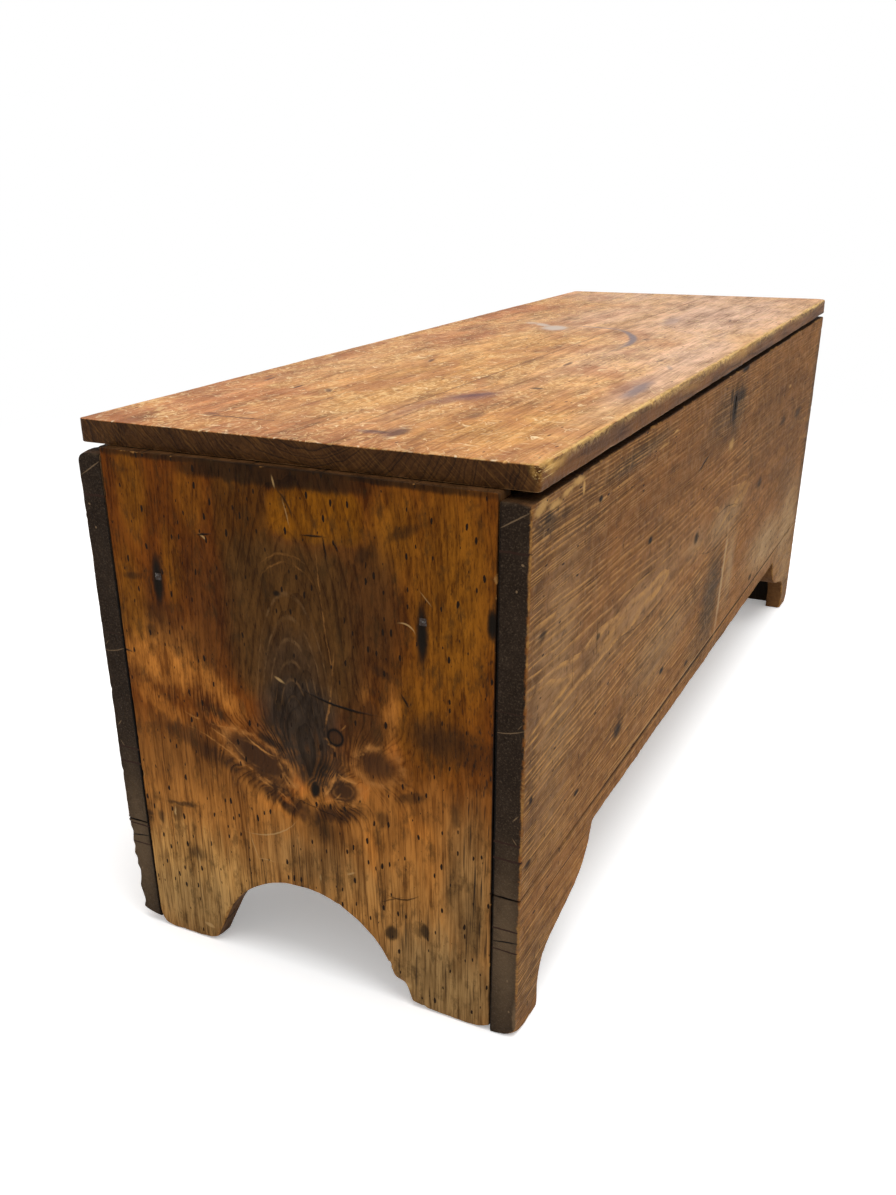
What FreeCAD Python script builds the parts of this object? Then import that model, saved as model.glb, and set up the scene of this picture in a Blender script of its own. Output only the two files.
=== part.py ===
import FreeCAD, Part
import math
import os
import Sketcher
from FreeCAD import Placement, Rotation, Vector

# A pine blanket chest: two wide boards and two skirt boards with bracket feet between two
# arched end boards, a nailed bottom, a plain lid on two butt hinges and a half-mortise lock.
#
# Frame: X along the chest, the front towards -Y, Z up. The origin is on the floor, under
# the middle of the lid's depth and of the case's length. Millimetres.

doc = FreeCAD.newDocument("BlanketChest")
sheet = doc.addObject("Spreadsheet::Sheet", "Sizes")

SIZES = {
    # the case
    "case_length": 1219.2,
    "case_depth": 405.4,
    "case_height": 473.4,
    "board_thickness": 24.5,
    "end_thickness": 23.0,
    "end_clearance": 0.4,
    "lid_gap": 5.9,
    "front_skirt_height": 142.1,
    "back_skirt_height": 115.1,
    "bottom_thickness": 22.0,
    "bottom_rise": 1.9,
    # bracket feet of the skirts
    "foot_width": 50.0,
    "foot_side": 20.0,
    "cove_radius": 38.0,
    "spur_slope": 15.0,
    "front_rail": 22.6,
    "front_brow_radius": 68.0,
    "front_bracket": 181.0,
    "back_rail": 22.6,
    "back_brow_radius": 40.0,
    "back_bracket": 135.0,
    # arch of the end boards
    "arch_height": 93.4,
    "arch_radius": 95.0,
    "arch_slope": 64.0,
    "arch_offset": 6.3,
    # lid
    "lid_thickness": 19.8,
    "lid_left_inset": 8.3,
    "lid_right_inset": 3.8,
    "lid_front_overhang": 2.7,
    "lid_back_overhang": 3.9,
    "lid_corner_radius": 5.0,
    "lid_arris": 1.5,
    # hinges
    "hinge_inset": 230.0,
    "hinge_length": 64.0,
    "hinge_leaf_depth": 22.0,
    "hinge_leaf_gap": 0.7,
    "hinge_barrel_radius": 4.0,
    "hinge_pin_radius": 2.0,
    "hinge_pin_clearance": 0.05,
    "hinge_knuckle_gap": 0.3,
    "hinge_axis_inset": 1.5,
    "hinge_relief": 0.5,
    "hinge_screw_pitch": 22.0,
    "hinge_screw_line": 13.0,
    # screws
    "screw_radius": 2.0,
    "screw_head_radius": 3.8,
    "screw_head_height": 1.8,
    "screw_length": 14.0,
    "screw_clearance": 0.3,
    "screw_slot": 0.8,
    # nails
    "nail_shank": 3.0,
    "nail_head": 6.0,
    "nail_head_height": 1.4,
    "nail_length": 56.0,
    "end_nail_length": 20.0,
    "nail_set": 1.5,
    "case_nail_rise": 86.0,
    "case_nail_drop": 49.5,
    "skirt_nail_rise": 48.0,
    "skirt_nail_drop": 22.0,
    "bottom_nail_pitch": 346.0,
    "bottom_nail_offset": -105.6,
    "end_nail_height": 369.0,
    "end_nail_pitch": 249.0,
    # lock
    "keyhole_offset": 20.0,
    "keyhole_drop": 31.5,
    "keyhole_radius": 4.0,
    "keyhole_slot": 4.0,
    "keyhole_length": 16.0,
    "lock_plate_margin": 10.0,
    "lock_plate_height": 62.0,
    "lock_plate_thickness": 2.5,
    "selvedge_depth": 18.0,
    "lock_box_height": 54.5,
    "lock_box_depth": 12.5,
    "lock_box_wall": 1.5,
    "mortise_clearance": 0.5,
    "lock_screw_inset": 5.5,
    "staple_pitch": 36.0,
    "staple_thickness": 2.4,
    "staple_width": 9.0,
    "staple_drop": 17.4,
    "staple_eye_width": 5.0,
    "staple_eye_height": 6.0,
    "staple_clearance": 0.6,
    "strike_length": 64.0,
    "strike_width": 18.0,
    "strike_thickness": 2.6,
    "strike_screw_inset": 6.0,
    "bolt_tail": 5.5,
    "bolt_end_clearance": 1.0,
    "bolt_bar_height": 5.0,
    "bolt_bar_clearance": 2.0,
    "bolt_finger_length": 9.5,
    "bolt_finger_size": 3.6,
    "bolt_finger_back": 4.0,
    "bolt_tip_clearance": 0.8,
    "bolt_running_clearance": 0.3,
    "bolt_notch": 7.0,
    "bolt_ledge": 2.5,
    "bolt_ledge_length": 14.0,
    "spring_thickness": 0.8,
    "spring_width": 3.0,
    "spring_foot": 4.0,
    "spring_clearance": 1.8,
    "spring_tip": 1.0,
    "spring_rise": 5.0,
    "key_pin_radius": 1.5,
    "key_pin_clearance": 0.6,
}

for row, (alias, number) in enumerate(SIZES.items(), start=1):
    sheet.set(f"A{row}", alias)
    sheet.set(f"B{row}", str(number))
    sheet.setAlias(f"B{row}", alias)
doc.recompute()


def size(alias):
    """The number that a cell of the sheet holds."""
    return float(sheet.get(alias))


# Places that several pieces share, as formulas on the sheet.
HALF_LENGTH = "Sizes.case_length / 2"
FRONT_FACE = "(Sizes.lid_front_overhang - Sizes.lid_back_overhang - Sizes.case_depth) / 2"
BACK_FACE = "(Sizes.lid_front_overhang - Sizes.lid_back_overhang + Sizes.case_depth) / 2"
FRONT_INSIDE = f"({FRONT_FACE} + Sizes.board_thickness)"
BACK_INSIDE = f"({BACK_FACE} - Sizes.board_thickness)"
BOARD_TOP = "(Sizes.case_height - Sizes.lid_gap)"
BOTTOM_FOOT = "(Sizes.front_skirt_height + Sizes.bottom_rise)"
LEAF_THICKNESS = "((Sizes.lid_gap - Sizes.hinge_leaf_gap) / 2)"
END_WIDTH = "(Sizes.case_depth - 2 * Sizes.board_thickness - 2 * Sizes.end_clearance)"
INSIDE_LENGTH = "(Sizes.case_length - 2 * Sizes.end_thickness)"
HINGE_Y = f"({BACK_FACE} - Sizes.hinge_axis_inset)"
HINGE_Z = "(Sizes.case_height - Sizes.lid_gap / 2)"
KEYHOLE_Z = f"({BOARD_TOP} - Sizes.keyhole_drop)"
STAPLE_Y = f"({FRONT_INSIDE} - (Sizes.lock_box_depth - Sizes.lock_box_wall) / 2)"
STRIKE_FACE = "(Sizes.case_height - Sizes.strike_thickness)"
STAPLE_FOOT = f"({STRIKE_FACE} - Sizes.staple_drop)"
EYE_Z = f"({STAPLE_FOOT} + (Sizes.staple_width - Sizes.staple_eye_width) / 2)"
BAR_TOP = f"({STAPLE_FOOT} - Sizes.bolt_bar_clearance)"
BAR_FOOT = f"({BAR_TOP} - Sizes.bolt_bar_height)"
BOLT_BACK = "(Sizes.bolt_tip_clearance + Sizes.bolt_finger_length + Sizes.bolt_finger_back)"
BAR_LEFT = f"(-(Sizes.staple_pitch + Sizes.staple_thickness) / 2 - {BOLT_BACK})"
BAR_LENGTH = f"(Sizes.staple_pitch / 2 + Sizes.bolt_tail - {BAR_LEFT})"
BOX_WIDTH = f"(2 * (Sizes.lock_box_wall + Sizes.bolt_end_clearance - {BAR_LEFT}))"
PLATE_WIDTH = f"({BOX_WIDTH} + 2 * Sizes.lock_plate_margin)"
SPRING_LENGTH = ("((Sizes.staple_pitch - Sizes.staple_thickness) / 2"
                 " - Sizes.spring_tip - Sizes.spring_foot - Sizes.spring_clearance)")

parts = {}


def keep(name, thing):
    """Name a finished sub-part; its label is its node's and its file's name."""
    thing.Label = name
    parts[name] = thing
    return thing


def place(thing, across="0", along="0", up="0"):
    """Bind where a sub-part's own origin lies."""
    thing.setExpression("Placement.Base.x", across)
    thing.setExpression("Placement.Base.y", along)
    thing.setExpression("Placement.Base.z", up)


# --- sketches -------------------------------------------------------------------------


def new_sketch(body, name, role, offset=None, sideways=None):
    """A sketch on one of the body's own origin planes, moved along its normal or sideways."""
    plane = next(p for p in body.Origin.OriginFeatures if p.Role == role)
    sketch = body.newObject("Sketcher::SketchObject", name)
    sketch.AttachmentSupport = [(plane, "")]
    sketch.MapMode = "FlatFace"
    if offset:
        sketch.setExpression("AttachmentOffset.Base.z", offset)
    if sideways:
        sketch.setExpression("AttachmentOffset.Base.x", sideways)
    return sketch


def dimension(sketch, formula, kind, *ends):
    """A driving dimension of a sketch, bound to the sheet."""
    index = sketch.addConstraint(Sketcher.Constraint(kind, *ends))
    sketch.setExpression(f"Constraints[{index}]", formula)


def tie(sketch, kind, *ends):
    sketch.addConstraint(Sketcher.Constraint(kind, *ends))


def place_end(sketch, across, up, line, end):
    """Hold an end of a line, or a circle's middle, at a bound distance from the sketch's origin."""
    start = sketch.getPoint(line, end)
    dimension(sketch, across, "DistanceX", -1, 1, line, end, start.x)
    dimension(sketch, up, "DistanceY", -1, 1, line, end, start.y)


def mirror_ends(sketch, one, other):
    """Hold two ends symmetric about the sketch's upright axis."""
    tie(sketch, "Symmetric", *one, *other, -2)


def chain(sketch, first, count):
    """Join the end of each line to the start of the next, and the last to the first."""
    for step in range(count):
        tie(sketch, "Coincident", first + step, 2, first + (step + 1) % count, 1)


def rectangle(sketch, left, low, width, height):
    """A rectangle whose lower left corner, width and height follow formulas."""
    corners = [Vector(1, 1), Vector(2, 1), Vector(2, 2), Vector(1, 2)]
    first = sketch.GeometryCount
    for start, end in zip(corners, corners[1:] + corners[:1]):
        sketch.addGeometry(Part.LineSegment(start, end))
    chain(sketch, first, 4)
    for step, kind in enumerate(("Horizontal", "Vertical", "Horizontal", "Vertical")):
        tie(sketch, kind, first + step)
    place_end(sketch, left, low, first, 1)
    dimension(sketch, width, "DistanceX", first, 1, first, 2, 1.0)
    dimension(sketch, height, "DistanceY", first + 1, 1, first + 1, 2, 1.0)


def circle(sketch, across, up, radius):
    """A circle whose centre and radius follow formulas."""
    index = sketch.addGeometry(Part.Circle(Vector(1, 1), Vector(0, 0, 1), 1))
    place_end(sketch, across, up, index, 3)
    dimension(sketch, radius, "Radius", index, 1.0)


def keyhole(sketch, across, up):
    """A round hole with a slot below it: an arc and three sides of the slot."""
    radius, half_slot = size("keyhole_radius"), size("keyhole_slot") / 2
    foot = -size("keyhole_length")
    shoulder = -math.sqrt(radius**2 - half_slot**2)
    right = math.atan2(shoulder, half_slot)
    left = math.pi - right
    round_line = Part.Circle(Vector(0, 0), Vector(0, 0, 1), radius)
    sketch.addGeometry(Part.ArcOfCircle(round_line, right, left))
    path = [Vector(-half_slot, shoulder), Vector(-half_slot, foot)]
    path += [Vector(half_slot, foot), Vector(half_slot, shoulder)]
    for start, end in zip(path, path[1:]):
        sketch.addGeometry(Part.LineSegment(start, end))
    chain(sketch, 0, 4)
    tie(sketch, "Vertical", 1)
    tie(sketch, "Horizontal", 2)
    tie(sketch, "Vertical", 3)
    dimension(sketch, "Sizes.keyhole_radius", "Radius", 0, radius)
    place_end(sketch, across, up, 0, 3)
    dimension(sketch, "Sizes.keyhole_slot", "DistanceX", 2, 1, 2, 2, 2 * half_slot)
    dimension(sketch, "Sizes.keyhole_slot / 2", "DistanceX", 2, 1, 0, 3, half_slot)
    dimension(sketch, "Sizes.keyhole_length", "DistanceY", 2, 1, 0, 3, -foot)


# --- solid features -------------------------------------------------------------------


def pad(body, sketch, length, backwards=False):
    """Raise a sketch along its normal, or against it."""
    feature = body.newObject("PartDesign::Pad", sketch.Name + "Pad")
    feature.Profile = sketch
    feature.Reversed = backwards
    feature.setExpression("Length", length)
    return feature


def pocket(body, sketch, depth=None, backwards=False):
    """Cut a sketch against its normal, or along it; with no depth, through everything."""
    feature = body.newObject("PartDesign::Pocket", sketch.Name + "Pocket")
    feature.Profile = sketch
    feature.Reversed = backwards
    if depth:
        feature.setExpression("Length", depth)
    else:
        feature.Type = "ThroughAll"
    doc.recompute()
    before = feature.getPropertyByName("BaseFeature").Shape.Volume
    if not feature.Shape.Volume < before:
        raise ValueError(f"{sketch.Name} cuts nothing")
    return feature


def edges_where(shape, test):
    """The names of the edges whose two ends pass a test."""
    names = []
    for index, edge in enumerate(shape.Edges, start=1):
        ends = [vertex.Point for vertex in edge.Vertexes]
        if len(ends) == 2 and test(*ends):
            names.append(f"Edge{index}")
    return names


def round_edges(body, base, radius, test, name):
    """Round the edges of a feature that pass a test."""
    feature = body.newObject("PartDesign::Fillet", name)
    feature.Base = (base, edges_where(base.Shape, test))
    feature.setExpression("Radius", radius)
    doc.recompute()
    return feature


# --- plain solids for fasteners -------------------------------------------------------


def block(name, across, along, up, corner):
    """A block of three bound edges from a bound lowest corner."""
    thing = doc.addObject("Part::Box", name)
    for edge, formula in zip(("Length", "Width", "Height"), (across, along, up)):
        thing.setExpression(edge, formula)
    place(thing, *corner)
    return thing


def turned(kind, name, rotation, foot, **sizes):
    """A cylinder or cone that stands on a bound point and points the way it is turned."""
    thing = doc.addObject(kind, name)
    thing.Placement = Placement(Vector(), rotation)
    for edge, formula in sizes.items():
        thing.setExpression(edge, formula)
    place(thing, *foot)
    return thing


def fuse(name, things):
    thing = doc.addObject("Part::MultiFuse", name)
    thing.Shapes = things
    return thing


def cut(name, base, tool):
    thing = doc.addObject("Part::Cut", name)
    thing.Base, thing.Tool = base, tool
    return thing


def group(name, things):
    """Equal fasteners that share one node."""
    thing = doc.addObject("Part::Compound", name)
    thing.Links = things
    return keep(name, thing)


TOWARDS = {
    "+X": Rotation(Vector(0, 1, 0), 90),
    "-X": Rotation(Vector(0, 1, 0), -90),
    "+Y": Rotation(Vector(1, 0, 0), -90),
    "-Y": Rotation(Vector(1, 0, 0), 90),
    "+Z": Rotation(),
    "-Z": Rotation(Vector(1, 0, 0), 180),
}


def screw(name, head, way):
    """A slotted countersunk screw: its head's face at a point, its shank the given way."""
    sink = turned("Part::Cone", name + "Head", TOWARDS[way], head,
                  Radius1="Sizes.screw_head_radius", Radius2="Sizes.screw_radius",
                  Height="Sizes.screw_head_height")
    shank = turned("Part::Cylinder", name + "Shank", TOWARDS[way], head,
                   Radius="Sizes.screw_radius", Height="Sizes.screw_length")
    spans = ("2 * Sizes.screw_head_radius", "Sizes.screw_slot", "Sizes.screw_slot")
    corner = [f"({middle} - ({span}) / 2)" for middle, span in zip(head, spans)]
    slot = block(name + "Slot", *spans, corner)
    return cut(name, fuse(name + "Body", [sink, shank]), slot)


def nail(name, head, way, length):
    """A square cut nail: its head's face flush at a point, its shank the given way."""
    def bar(label, side, run):
        spans = [side] * 3
        spans["XYZ".index(way[1])] = run
        corner = [f"({middle} - {span} / 2)" for middle, span in zip(head, spans)]
        axis = "XYZ".index(way[1])
        corner[axis] = head[axis] if way[0] == "+" else f"({head[axis]} - {run})"
        return block(name + label, *spans, corner)
    return fuse(name, [bar("Head", "Sizes.nail_head", "Sizes.nail_head_height"),
                       bar("Shank", "Sizes.nail_shank", length)])


# --- boards ---------------------------------------------------------------------------


def new_body(name):
    return keep(name, doc.addObject("PartDesign::Body", name))


def front_board():
    """Wide upper board of the front, with the keyhole and the lock's mortise."""
    body = new_body("front_board")
    place(body, f"-{HALF_LENGTH}", FRONT_FACE, "Sizes.front_skirt_height")
    face = new_sketch(body, "FrontFace", "XZ_Plane")
    rectangle(face, "0", "0", "Sizes.case_length", f"{BOARD_TOP} - Sizes.front_skirt_height")
    pad(body, face, "Sizes.board_thickness", backwards=True)
    lock_middle = f"({HALF_LENGTH} + Sizes.keyhole_offset)"
    hole = new_sketch(body, "FrontKeyhole", "XZ_Plane", "-Sizes.board_thickness")
    keyhole(hole, lock_middle, f"{KEYHOLE_Z} - Sizes.front_skirt_height")
    pocket(body, hole, backwards=True)
    mortise = new_sketch(body, "FrontMortise", "XZ_Plane", "-Sizes.board_thickness")
    width = f"({BOX_WIDTH} + 2 * Sizes.mortise_clearance)"
    height = "(Sizes.lock_box_height + Sizes.mortise_clearance)"
    top = f"({BOARD_TOP} - Sizes.front_skirt_height)"
    rectangle(mortise, f"{lock_middle} - {width} / 2", f"{top} - {height}", width, height)
    pocket(body, mortise, "Sizes.lock_box_depth + Sizes.mortise_clearance", backwards=True)


def notched_for_hinges(body, name, plane, offset, low, deep, backwards, depth):
    """Cut the two notches that the hinges' barrels turn in."""
    notches = new_sketch(body, name, plane, offset)
    length = "(Sizes.hinge_length + 2 * Sizes.hinge_relief)"
    for middle in ("Sizes.hinge_inset", "(Sizes.case_length - Sizes.hinge_inset)"):
        rectangle(notches, f"{middle} - {length} / 2", low, length, deep)
    pocket(body, notches, depth, backwards)


def back_board():
    """Wide upper board of the back, notched at its top for the hinges' barrels."""
    body = new_body("back_board")
    place(body, f"-{HALF_LENGTH}", BACK_INSIDE, "Sizes.back_skirt_height")
    face = new_sketch(body, "BackFace", "XZ_Plane")
    rectangle(face, "0", "0", "Sizes.case_length", f"{BOARD_TOP} - Sizes.back_skirt_height")
    pad(body, face, "Sizes.board_thickness", backwards=True)
    reach = "(Sizes.hinge_axis_inset + Sizes.hinge_barrel_radius + Sizes.hinge_relief)"
    low = f"({HINGE_Z} - Sizes.hinge_barrel_radius - Sizes.hinge_relief)"
    notched_for_hinges(body, "BackNotches", "XZ_Plane", "-Sizes.board_thickness",
                       f"{low} - Sizes.back_skirt_height", f"{BOARD_TOP} - {low}", True, reach)


def bracket_skirt(side, near_face):
    """A skirt board whose under edge rises from each foot in a cove, a spur and a brow."""
    name, height, rail = f"{side}_skirt", f"{side}_skirt_height", f"{side}_rail"
    brow_radius, bracket = f"{side}_brow_radius", f"{side}_bracket"
    body = new_body(name)
    place(body, "0", near_face)
    face = new_sketch(body, name + "Face", "XZ_Plane")
    rectangle(face, f"-{HALF_LENGTH}", "0", "Sizes.case_length", f"Sizes.{height}")
    pad(body, face, "Sizes.board_thickness", backwards=True)

    # Starting shape of the left bracket, from the foot's inner corner to the rail.
    slope = math.radians(size("spur_slope"))
    cove, brow = size("cove_radius"), size(brow_radius)
    foot = Vector(-size("case_length") / 2 + size("foot_width"), 0)
    side = foot + Vector(0, size("foot_side"))
    cove_middle = side + Vector(cove, 0)
    spur = cove_middle + Vector(-math.sin(slope), math.cos(slope)) * cove
    rail_end = Vector(-size("case_length") / 2 + size(bracket), size(height) - size(rail))
    # The brow's middle lies one radius off the spur's line and off the rail's end.
    along = Vector(math.cos(slope), math.sin(slope))
    normal = Vector(-along.y, along.x)
    lift = (rail_end - spur).dot(normal) - brow
    run = (rail_end - spur).dot(along) - math.sqrt(brow**2 - lift**2)
    brow_start = spur + along * run
    brow_middle = brow_start + normal * brow

    def swept(middle, start, end):
        first = math.atan2(start.y - middle.y, start.x - middle.x)
        last = math.atan2(end.y - middle.y, end.x - middle.x)
        round_line = Part.Circle(middle, Vector(0, 0, 1), start.distanceToPoint(middle))
        return Part.ArcOfCircle(round_line, first, last)

    def mirrored(point):
        return Vector(-point.x, point.y)

    shape = new_sketch(body, name + "Underside", "XZ_Plane")
    side_line, cove_arc, spur_line, brow_arc, rail_line = range(5)
    right_brow, right_spur, right_cove, right_side, floor_line = range(5, 10)
    shape.addGeometry(Part.LineSegment(foot, side))
    shape.addGeometry(swept(cove_middle, spur, side))
    shape.addGeometry(Part.LineSegment(spur, brow_start))
    shape.addGeometry(swept(brow_middle, brow_start, rail_end))
    shape.addGeometry(Part.LineSegment(rail_end, mirrored(rail_end)))
    shape.addGeometry(swept(mirrored(brow_middle), mirrored(rail_end), mirrored(brow_start)))
    shape.addGeometry(Part.LineSegment(mirrored(brow_start), mirrored(spur)))
    shape.addGeometry(swept(mirrored(cove_middle), mirrored(side), mirrored(spur)))
    shape.addGeometry(Part.LineSegment(mirrored(side), mirrored(foot)))
    shape.addGeometry(Part.LineSegment(mirrored(foot), foot))

    tie(shape, "Vertical", side_line)
    tie(shape, "Tangent", side_line, 2, cove_arc, 2)
    tie(shape, "Tangent", cove_arc, 1, spur_line, 1)
    tie(shape, "Tangent", spur_line, 2, brow_arc, 1)
    tie(shape, "Coincident", brow_arc, 2, rail_line, 1)
    tie(shape, "Coincident", rail_line, 2, right_brow, 1)
    tie(shape, "Coincident", right_brow, 2, right_spur, 1)
    tie(shape, "Coincident", right_spur, 2, right_cove, 2)
    tie(shape, "Coincident", right_cove, 1, right_side, 1)
    tie(shape, "Coincident", right_side, 2, floor_line, 1)
    tie(shape, "Coincident", floor_line, 2, side_line, 1)
    pairs = [((side_line, 1), (right_side, 2)), ((side_line, 2), (right_side, 1)),
             ((spur_line, 1), (right_spur, 2)), ((spur_line, 2), (right_spur, 1)),
             ((rail_line, 1), (rail_line, 2))]
    for left_end, right_end in pairs:
        mirror_ends(shape, left_end, right_end)
    tie(shape, "Equal", cove_arc, right_cove)
    tie(shape, "Equal", brow_arc, right_brow)
    place_end(shape, f"Sizes.foot_width - {HALF_LENGTH}", "0", side_line, 1)
    dimension(shape, "Sizes.foot_side", "DistanceY", side_line, 1, side_line, 2, size("foot_side"))
    dimension(shape, "Sizes.cove_radius", "Radius", cove_arc, cove)
    dimension(shape, "Sizes.spur_slope * 1deg", "Angle", spur_line, slope)
    dimension(shape, f"Sizes.{brow_radius}", "Radius", brow_arc, brow)
    place_end(shape, f"Sizes.{bracket} - {HALF_LENGTH}", f"Sizes.{height} - Sizes.{rail}", rail_line, 1)
    pocket(body, shape)


def end_board(name, left_edge):
    """An end board with its grain upright and an arch cut up from the floor."""
    body = new_body(name)
    place(body, left_edge, f"({FRONT_FACE} + {BACK_FACE}) / 2")
    face = new_sketch(body, name + "Face", "YZ_Plane")
    rectangle(face, f"-{END_WIDTH} / 2", "0", END_WIDTH, "Sizes.case_height")
    pad(body, face, "Sizes.end_thickness")

    # Starting shape: a crown whose ends run on to the floor as sloping flanks.
    radius, slope = size("arch_radius"), math.radians(size("arch_slope"))
    middle = Vector(0, size("arch_height") - radius)
    touch = middle + Vector(math.sin(slope), math.cos(slope)) * radius
    foot = Vector(touch.x + touch.y / math.tan(slope), 0)
    left_touch, left_foot = Vector(-touch.x, touch.y), Vector(-foot.x, 0)
    round_line = Part.Circle(middle, Vector(0, 0, 1), radius)
    arch = new_sketch(body, name + "Arch", "YZ_Plane", sideways="Sizes.arch_offset")
    flank, crown, left_flank, floor_line = range(4)
    arch.addGeometry(Part.LineSegment(foot, touch))
    arch.addGeometry(Part.ArcOfCircle(round_line, math.pi / 2 - slope, math.pi / 2 + slope))
    arch.addGeometry(Part.LineSegment(left_touch, left_foot))
    arch.addGeometry(Part.LineSegment(left_foot, foot))
    tie(arch, "Tangent", flank, 2, crown, 1)
    tie(arch, "Coincident", crown, 2, left_flank, 1)
    tie(arch, "Coincident", left_flank, 2, floor_line, 1)
    tie(arch, "Coincident", floor_line, 2, flank, 1)
    mirror_ends(arch, (flank, 1), (left_flank, 2))
    mirror_ends(arch, (flank, 2), (left_flank, 1))
    dimension(arch, "180deg - Sizes.arch_slope * 1deg", "Angle", flank, math.pi - slope)
    dimension(arch, "Sizes.arch_radius", "Radius", crown, radius)
    dimension(arch, "0", "DistanceY", -1, 1, floor_line, 1, 0.0)
    dimension(arch, "Sizes.arch_height - Sizes.arch_radius", "DistanceY", -1, 1, crown, 3, middle.y)
    pocket(body, arch, backwards=True)


def bottom_board():
    """The bottom, nailed between the front and the back."""
    body = new_body("bottom_board")
    place(body, f"-{INSIDE_LENGTH} / 2", FRONT_INSIDE, BOTTOM_FOOT)
    face = new_sketch(body, "BottomFace", "XY_Plane")
    rectangle(face, "0", "0", INSIDE_LENGTH, f"{BACK_INSIDE} - {FRONT_INSIDE}")
    pad(body, face, "Sizes.bottom_thickness")


def lid_board():
    """The lid: one plain board with rounded corners, notched below for the hinges."""
    body = new_body("lid_board")
    place(body, f"-{HALF_LENGTH}", f"{FRONT_FACE} - Sizes.lid_front_overhang", "Sizes.case_height")
    depth = "(Sizes.case_depth + Sizes.lid_front_overhang + Sizes.lid_back_overhang)"
    face = new_sketch(body, "LidFace", "XY_Plane")
    rectangle(face, "Sizes.lid_left_inset", "0",
              "Sizes.case_length - Sizes.lid_left_inset - Sizes.lid_right_inset", depth)
    board = pad(body, face, "Sizes.lid_thickness")
    doc.recompute()
    corners = round_edges(body, board, "Sizes.lid_corner_radius",
                          lambda a, b: abs(a.z - b.z) > 1, "LidCorners")
    top = size("lid_thickness") - 0.01
    round_edges(body, corners, "Sizes.lid_arris", lambda a, b: a.z > top and b.z > top, "LidArris")
    barrel = "(Sizes.hinge_barrel_radius + Sizes.hinge_relief)"
    reach = f"(Sizes.lid_back_overhang + Sizes.hinge_axis_inset + {barrel})"
    rise = f"{HINGE_Z} + {barrel} - Sizes.case_height"
    notched_for_hinges(body, "LidNotches", "XY_Plane", None, f"{depth} - {reach}", reach, True, rise)


# --- hinges ---------------------------------------------------------------------------

KNUCKLES = 5
KNUCKLE = f"((Sizes.hinge_length - {KNUCKLES - 1} * Sizes.hinge_knuckle_gap) / {KNUCKLES})"
KNUCKLE_PITCH = f"({KNUCKLE} + Sizes.hinge_knuckle_gap)"


def hinge_leaf(name, middle, low, own_knuckles):
    """A cast leaf: a plate with three countersunk holes and its share of the barrel."""
    body = new_body(name)
    place(body, f"{middle} - Sizes.hinge_length / 2", HINGE_Y, HINGE_Z)
    edge = "(Sizes.hinge_barrel_radius + Sizes.hinge_relief)"
    plate = new_sketch(body, name + "Plate", "XY_Plane", low)
    rectangle(plate, "0", "-Sizes.hinge_leaf_depth", "Sizes.hinge_length",
              f"Sizes.hinge_leaf_depth - {edge}")
    pad(body, plate, LEAF_THICKNESS)
    for knuckle in own_knuckles:
        start = f"{knuckle} * {KNUCKLE_PITCH}"
        tongue = new_sketch(body, f"{name}Tongue{knuckle}", "XY_Plane", low)
        rectangle(tongue, start, f"-{edge}", KNUCKLE, edge)
        pad(body, tongue, LEAF_THICKNESS)
        barrel = new_sketch(body, f"{name}Barrel{knuckle}", "YZ_Plane", start)
        circle(barrel, "0", "0", "Sizes.hinge_barrel_radius")
        pad(body, barrel, KNUCKLE)
    bore = new_sketch(body, name + "Bore", "YZ_Plane")
    circle(bore, "0", "0", "Sizes.hinge_pin_radius + Sizes.hinge_pin_clearance")
    pocket(body, bore, "Sizes.hinge_length", backwards=True)
    return body


def countersink(body, name, plane, face, centres, backwards):
    """Cut screw holes through a plate, each with a tapered mouth that takes the head."""
    shank = new_sketch(body, name + "Holes", plane, face)
    for across, up in centres:
        circle(shank, across, up, "Sizes.screw_radius + Sizes.screw_clearance")
    pocket(body, shank, backwards=backwards)
    mouth = new_sketch(body, name + "Mouths", plane, face)
    for across, up in centres:
        circle(mouth, across, up, "Sizes.screw_head_radius + Sizes.screw_clearance")
    taper = pocket(body, mouth, "Sizes.screw_head_height", backwards=backwards)
    slope = "atan((Sizes.screw_head_radius - Sizes.screw_radius) / Sizes.screw_head_height)"
    taper.setExpression("TaperAngle", f"-{slope}")
    doc.recompute()


def hinge(side, middle):
    """One butt hinge: a leaf on the back's top edge, a leaf under the lid, and the pin."""
    case_low = "-Sizes.lid_gap / 2"
    lid_low = "Sizes.hinge_leaf_gap / 2"
    case_leaf = hinge_leaf(f"hinge_{side}_case_leaf", middle, case_low, (0, 2, 4))
    lid_leaf = hinge_leaf(f"hinge_{side}_lid_leaf", middle, lid_low, (1, 3))
    centres = [(f"Sizes.hinge_length / 2 {step:+d} * Sizes.hinge_screw_pitch", "-Sizes.hinge_screw_line")
               for step in (-1, 0, 1)]
    countersink(case_leaf, f"{side}Case", "XY_Plane",
                f"{case_low} + {LEAF_THICKNESS}", centres, False)
    countersink(lid_leaf, f"{side}Lid", "XY_Plane", lid_low, centres, True)
    pin = turned("Part::Cylinder", f"{side}Pin", TOWARDS["+X"],
                 (f"{middle} - Sizes.hinge_length / 2", HINGE_Y, HINGE_Z),
                 Radius="Sizes.hinge_pin_radius", Height="Sizes.hinge_length")
    keep(f"hinge_{side}_pin", pin)


def hinge_screws(name, face, way):
    """Three screws for each of the two leaves on one side of the gap."""
    screws = []
    for side, middle in HINGE_MIDDLES.items():
        for step in (-1, 0, 1):
            head = (f"({middle} {step:+d} * Sizes.hinge_screw_pitch)",
                    f"({HINGE_Y} - Sizes.hinge_screw_line)", face)
            screws.append(screw(f"{name}_{side}_{step + 2}", head, way))
    group(name, screws)


# --- lock -----------------------------------------------------------------------------


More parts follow.
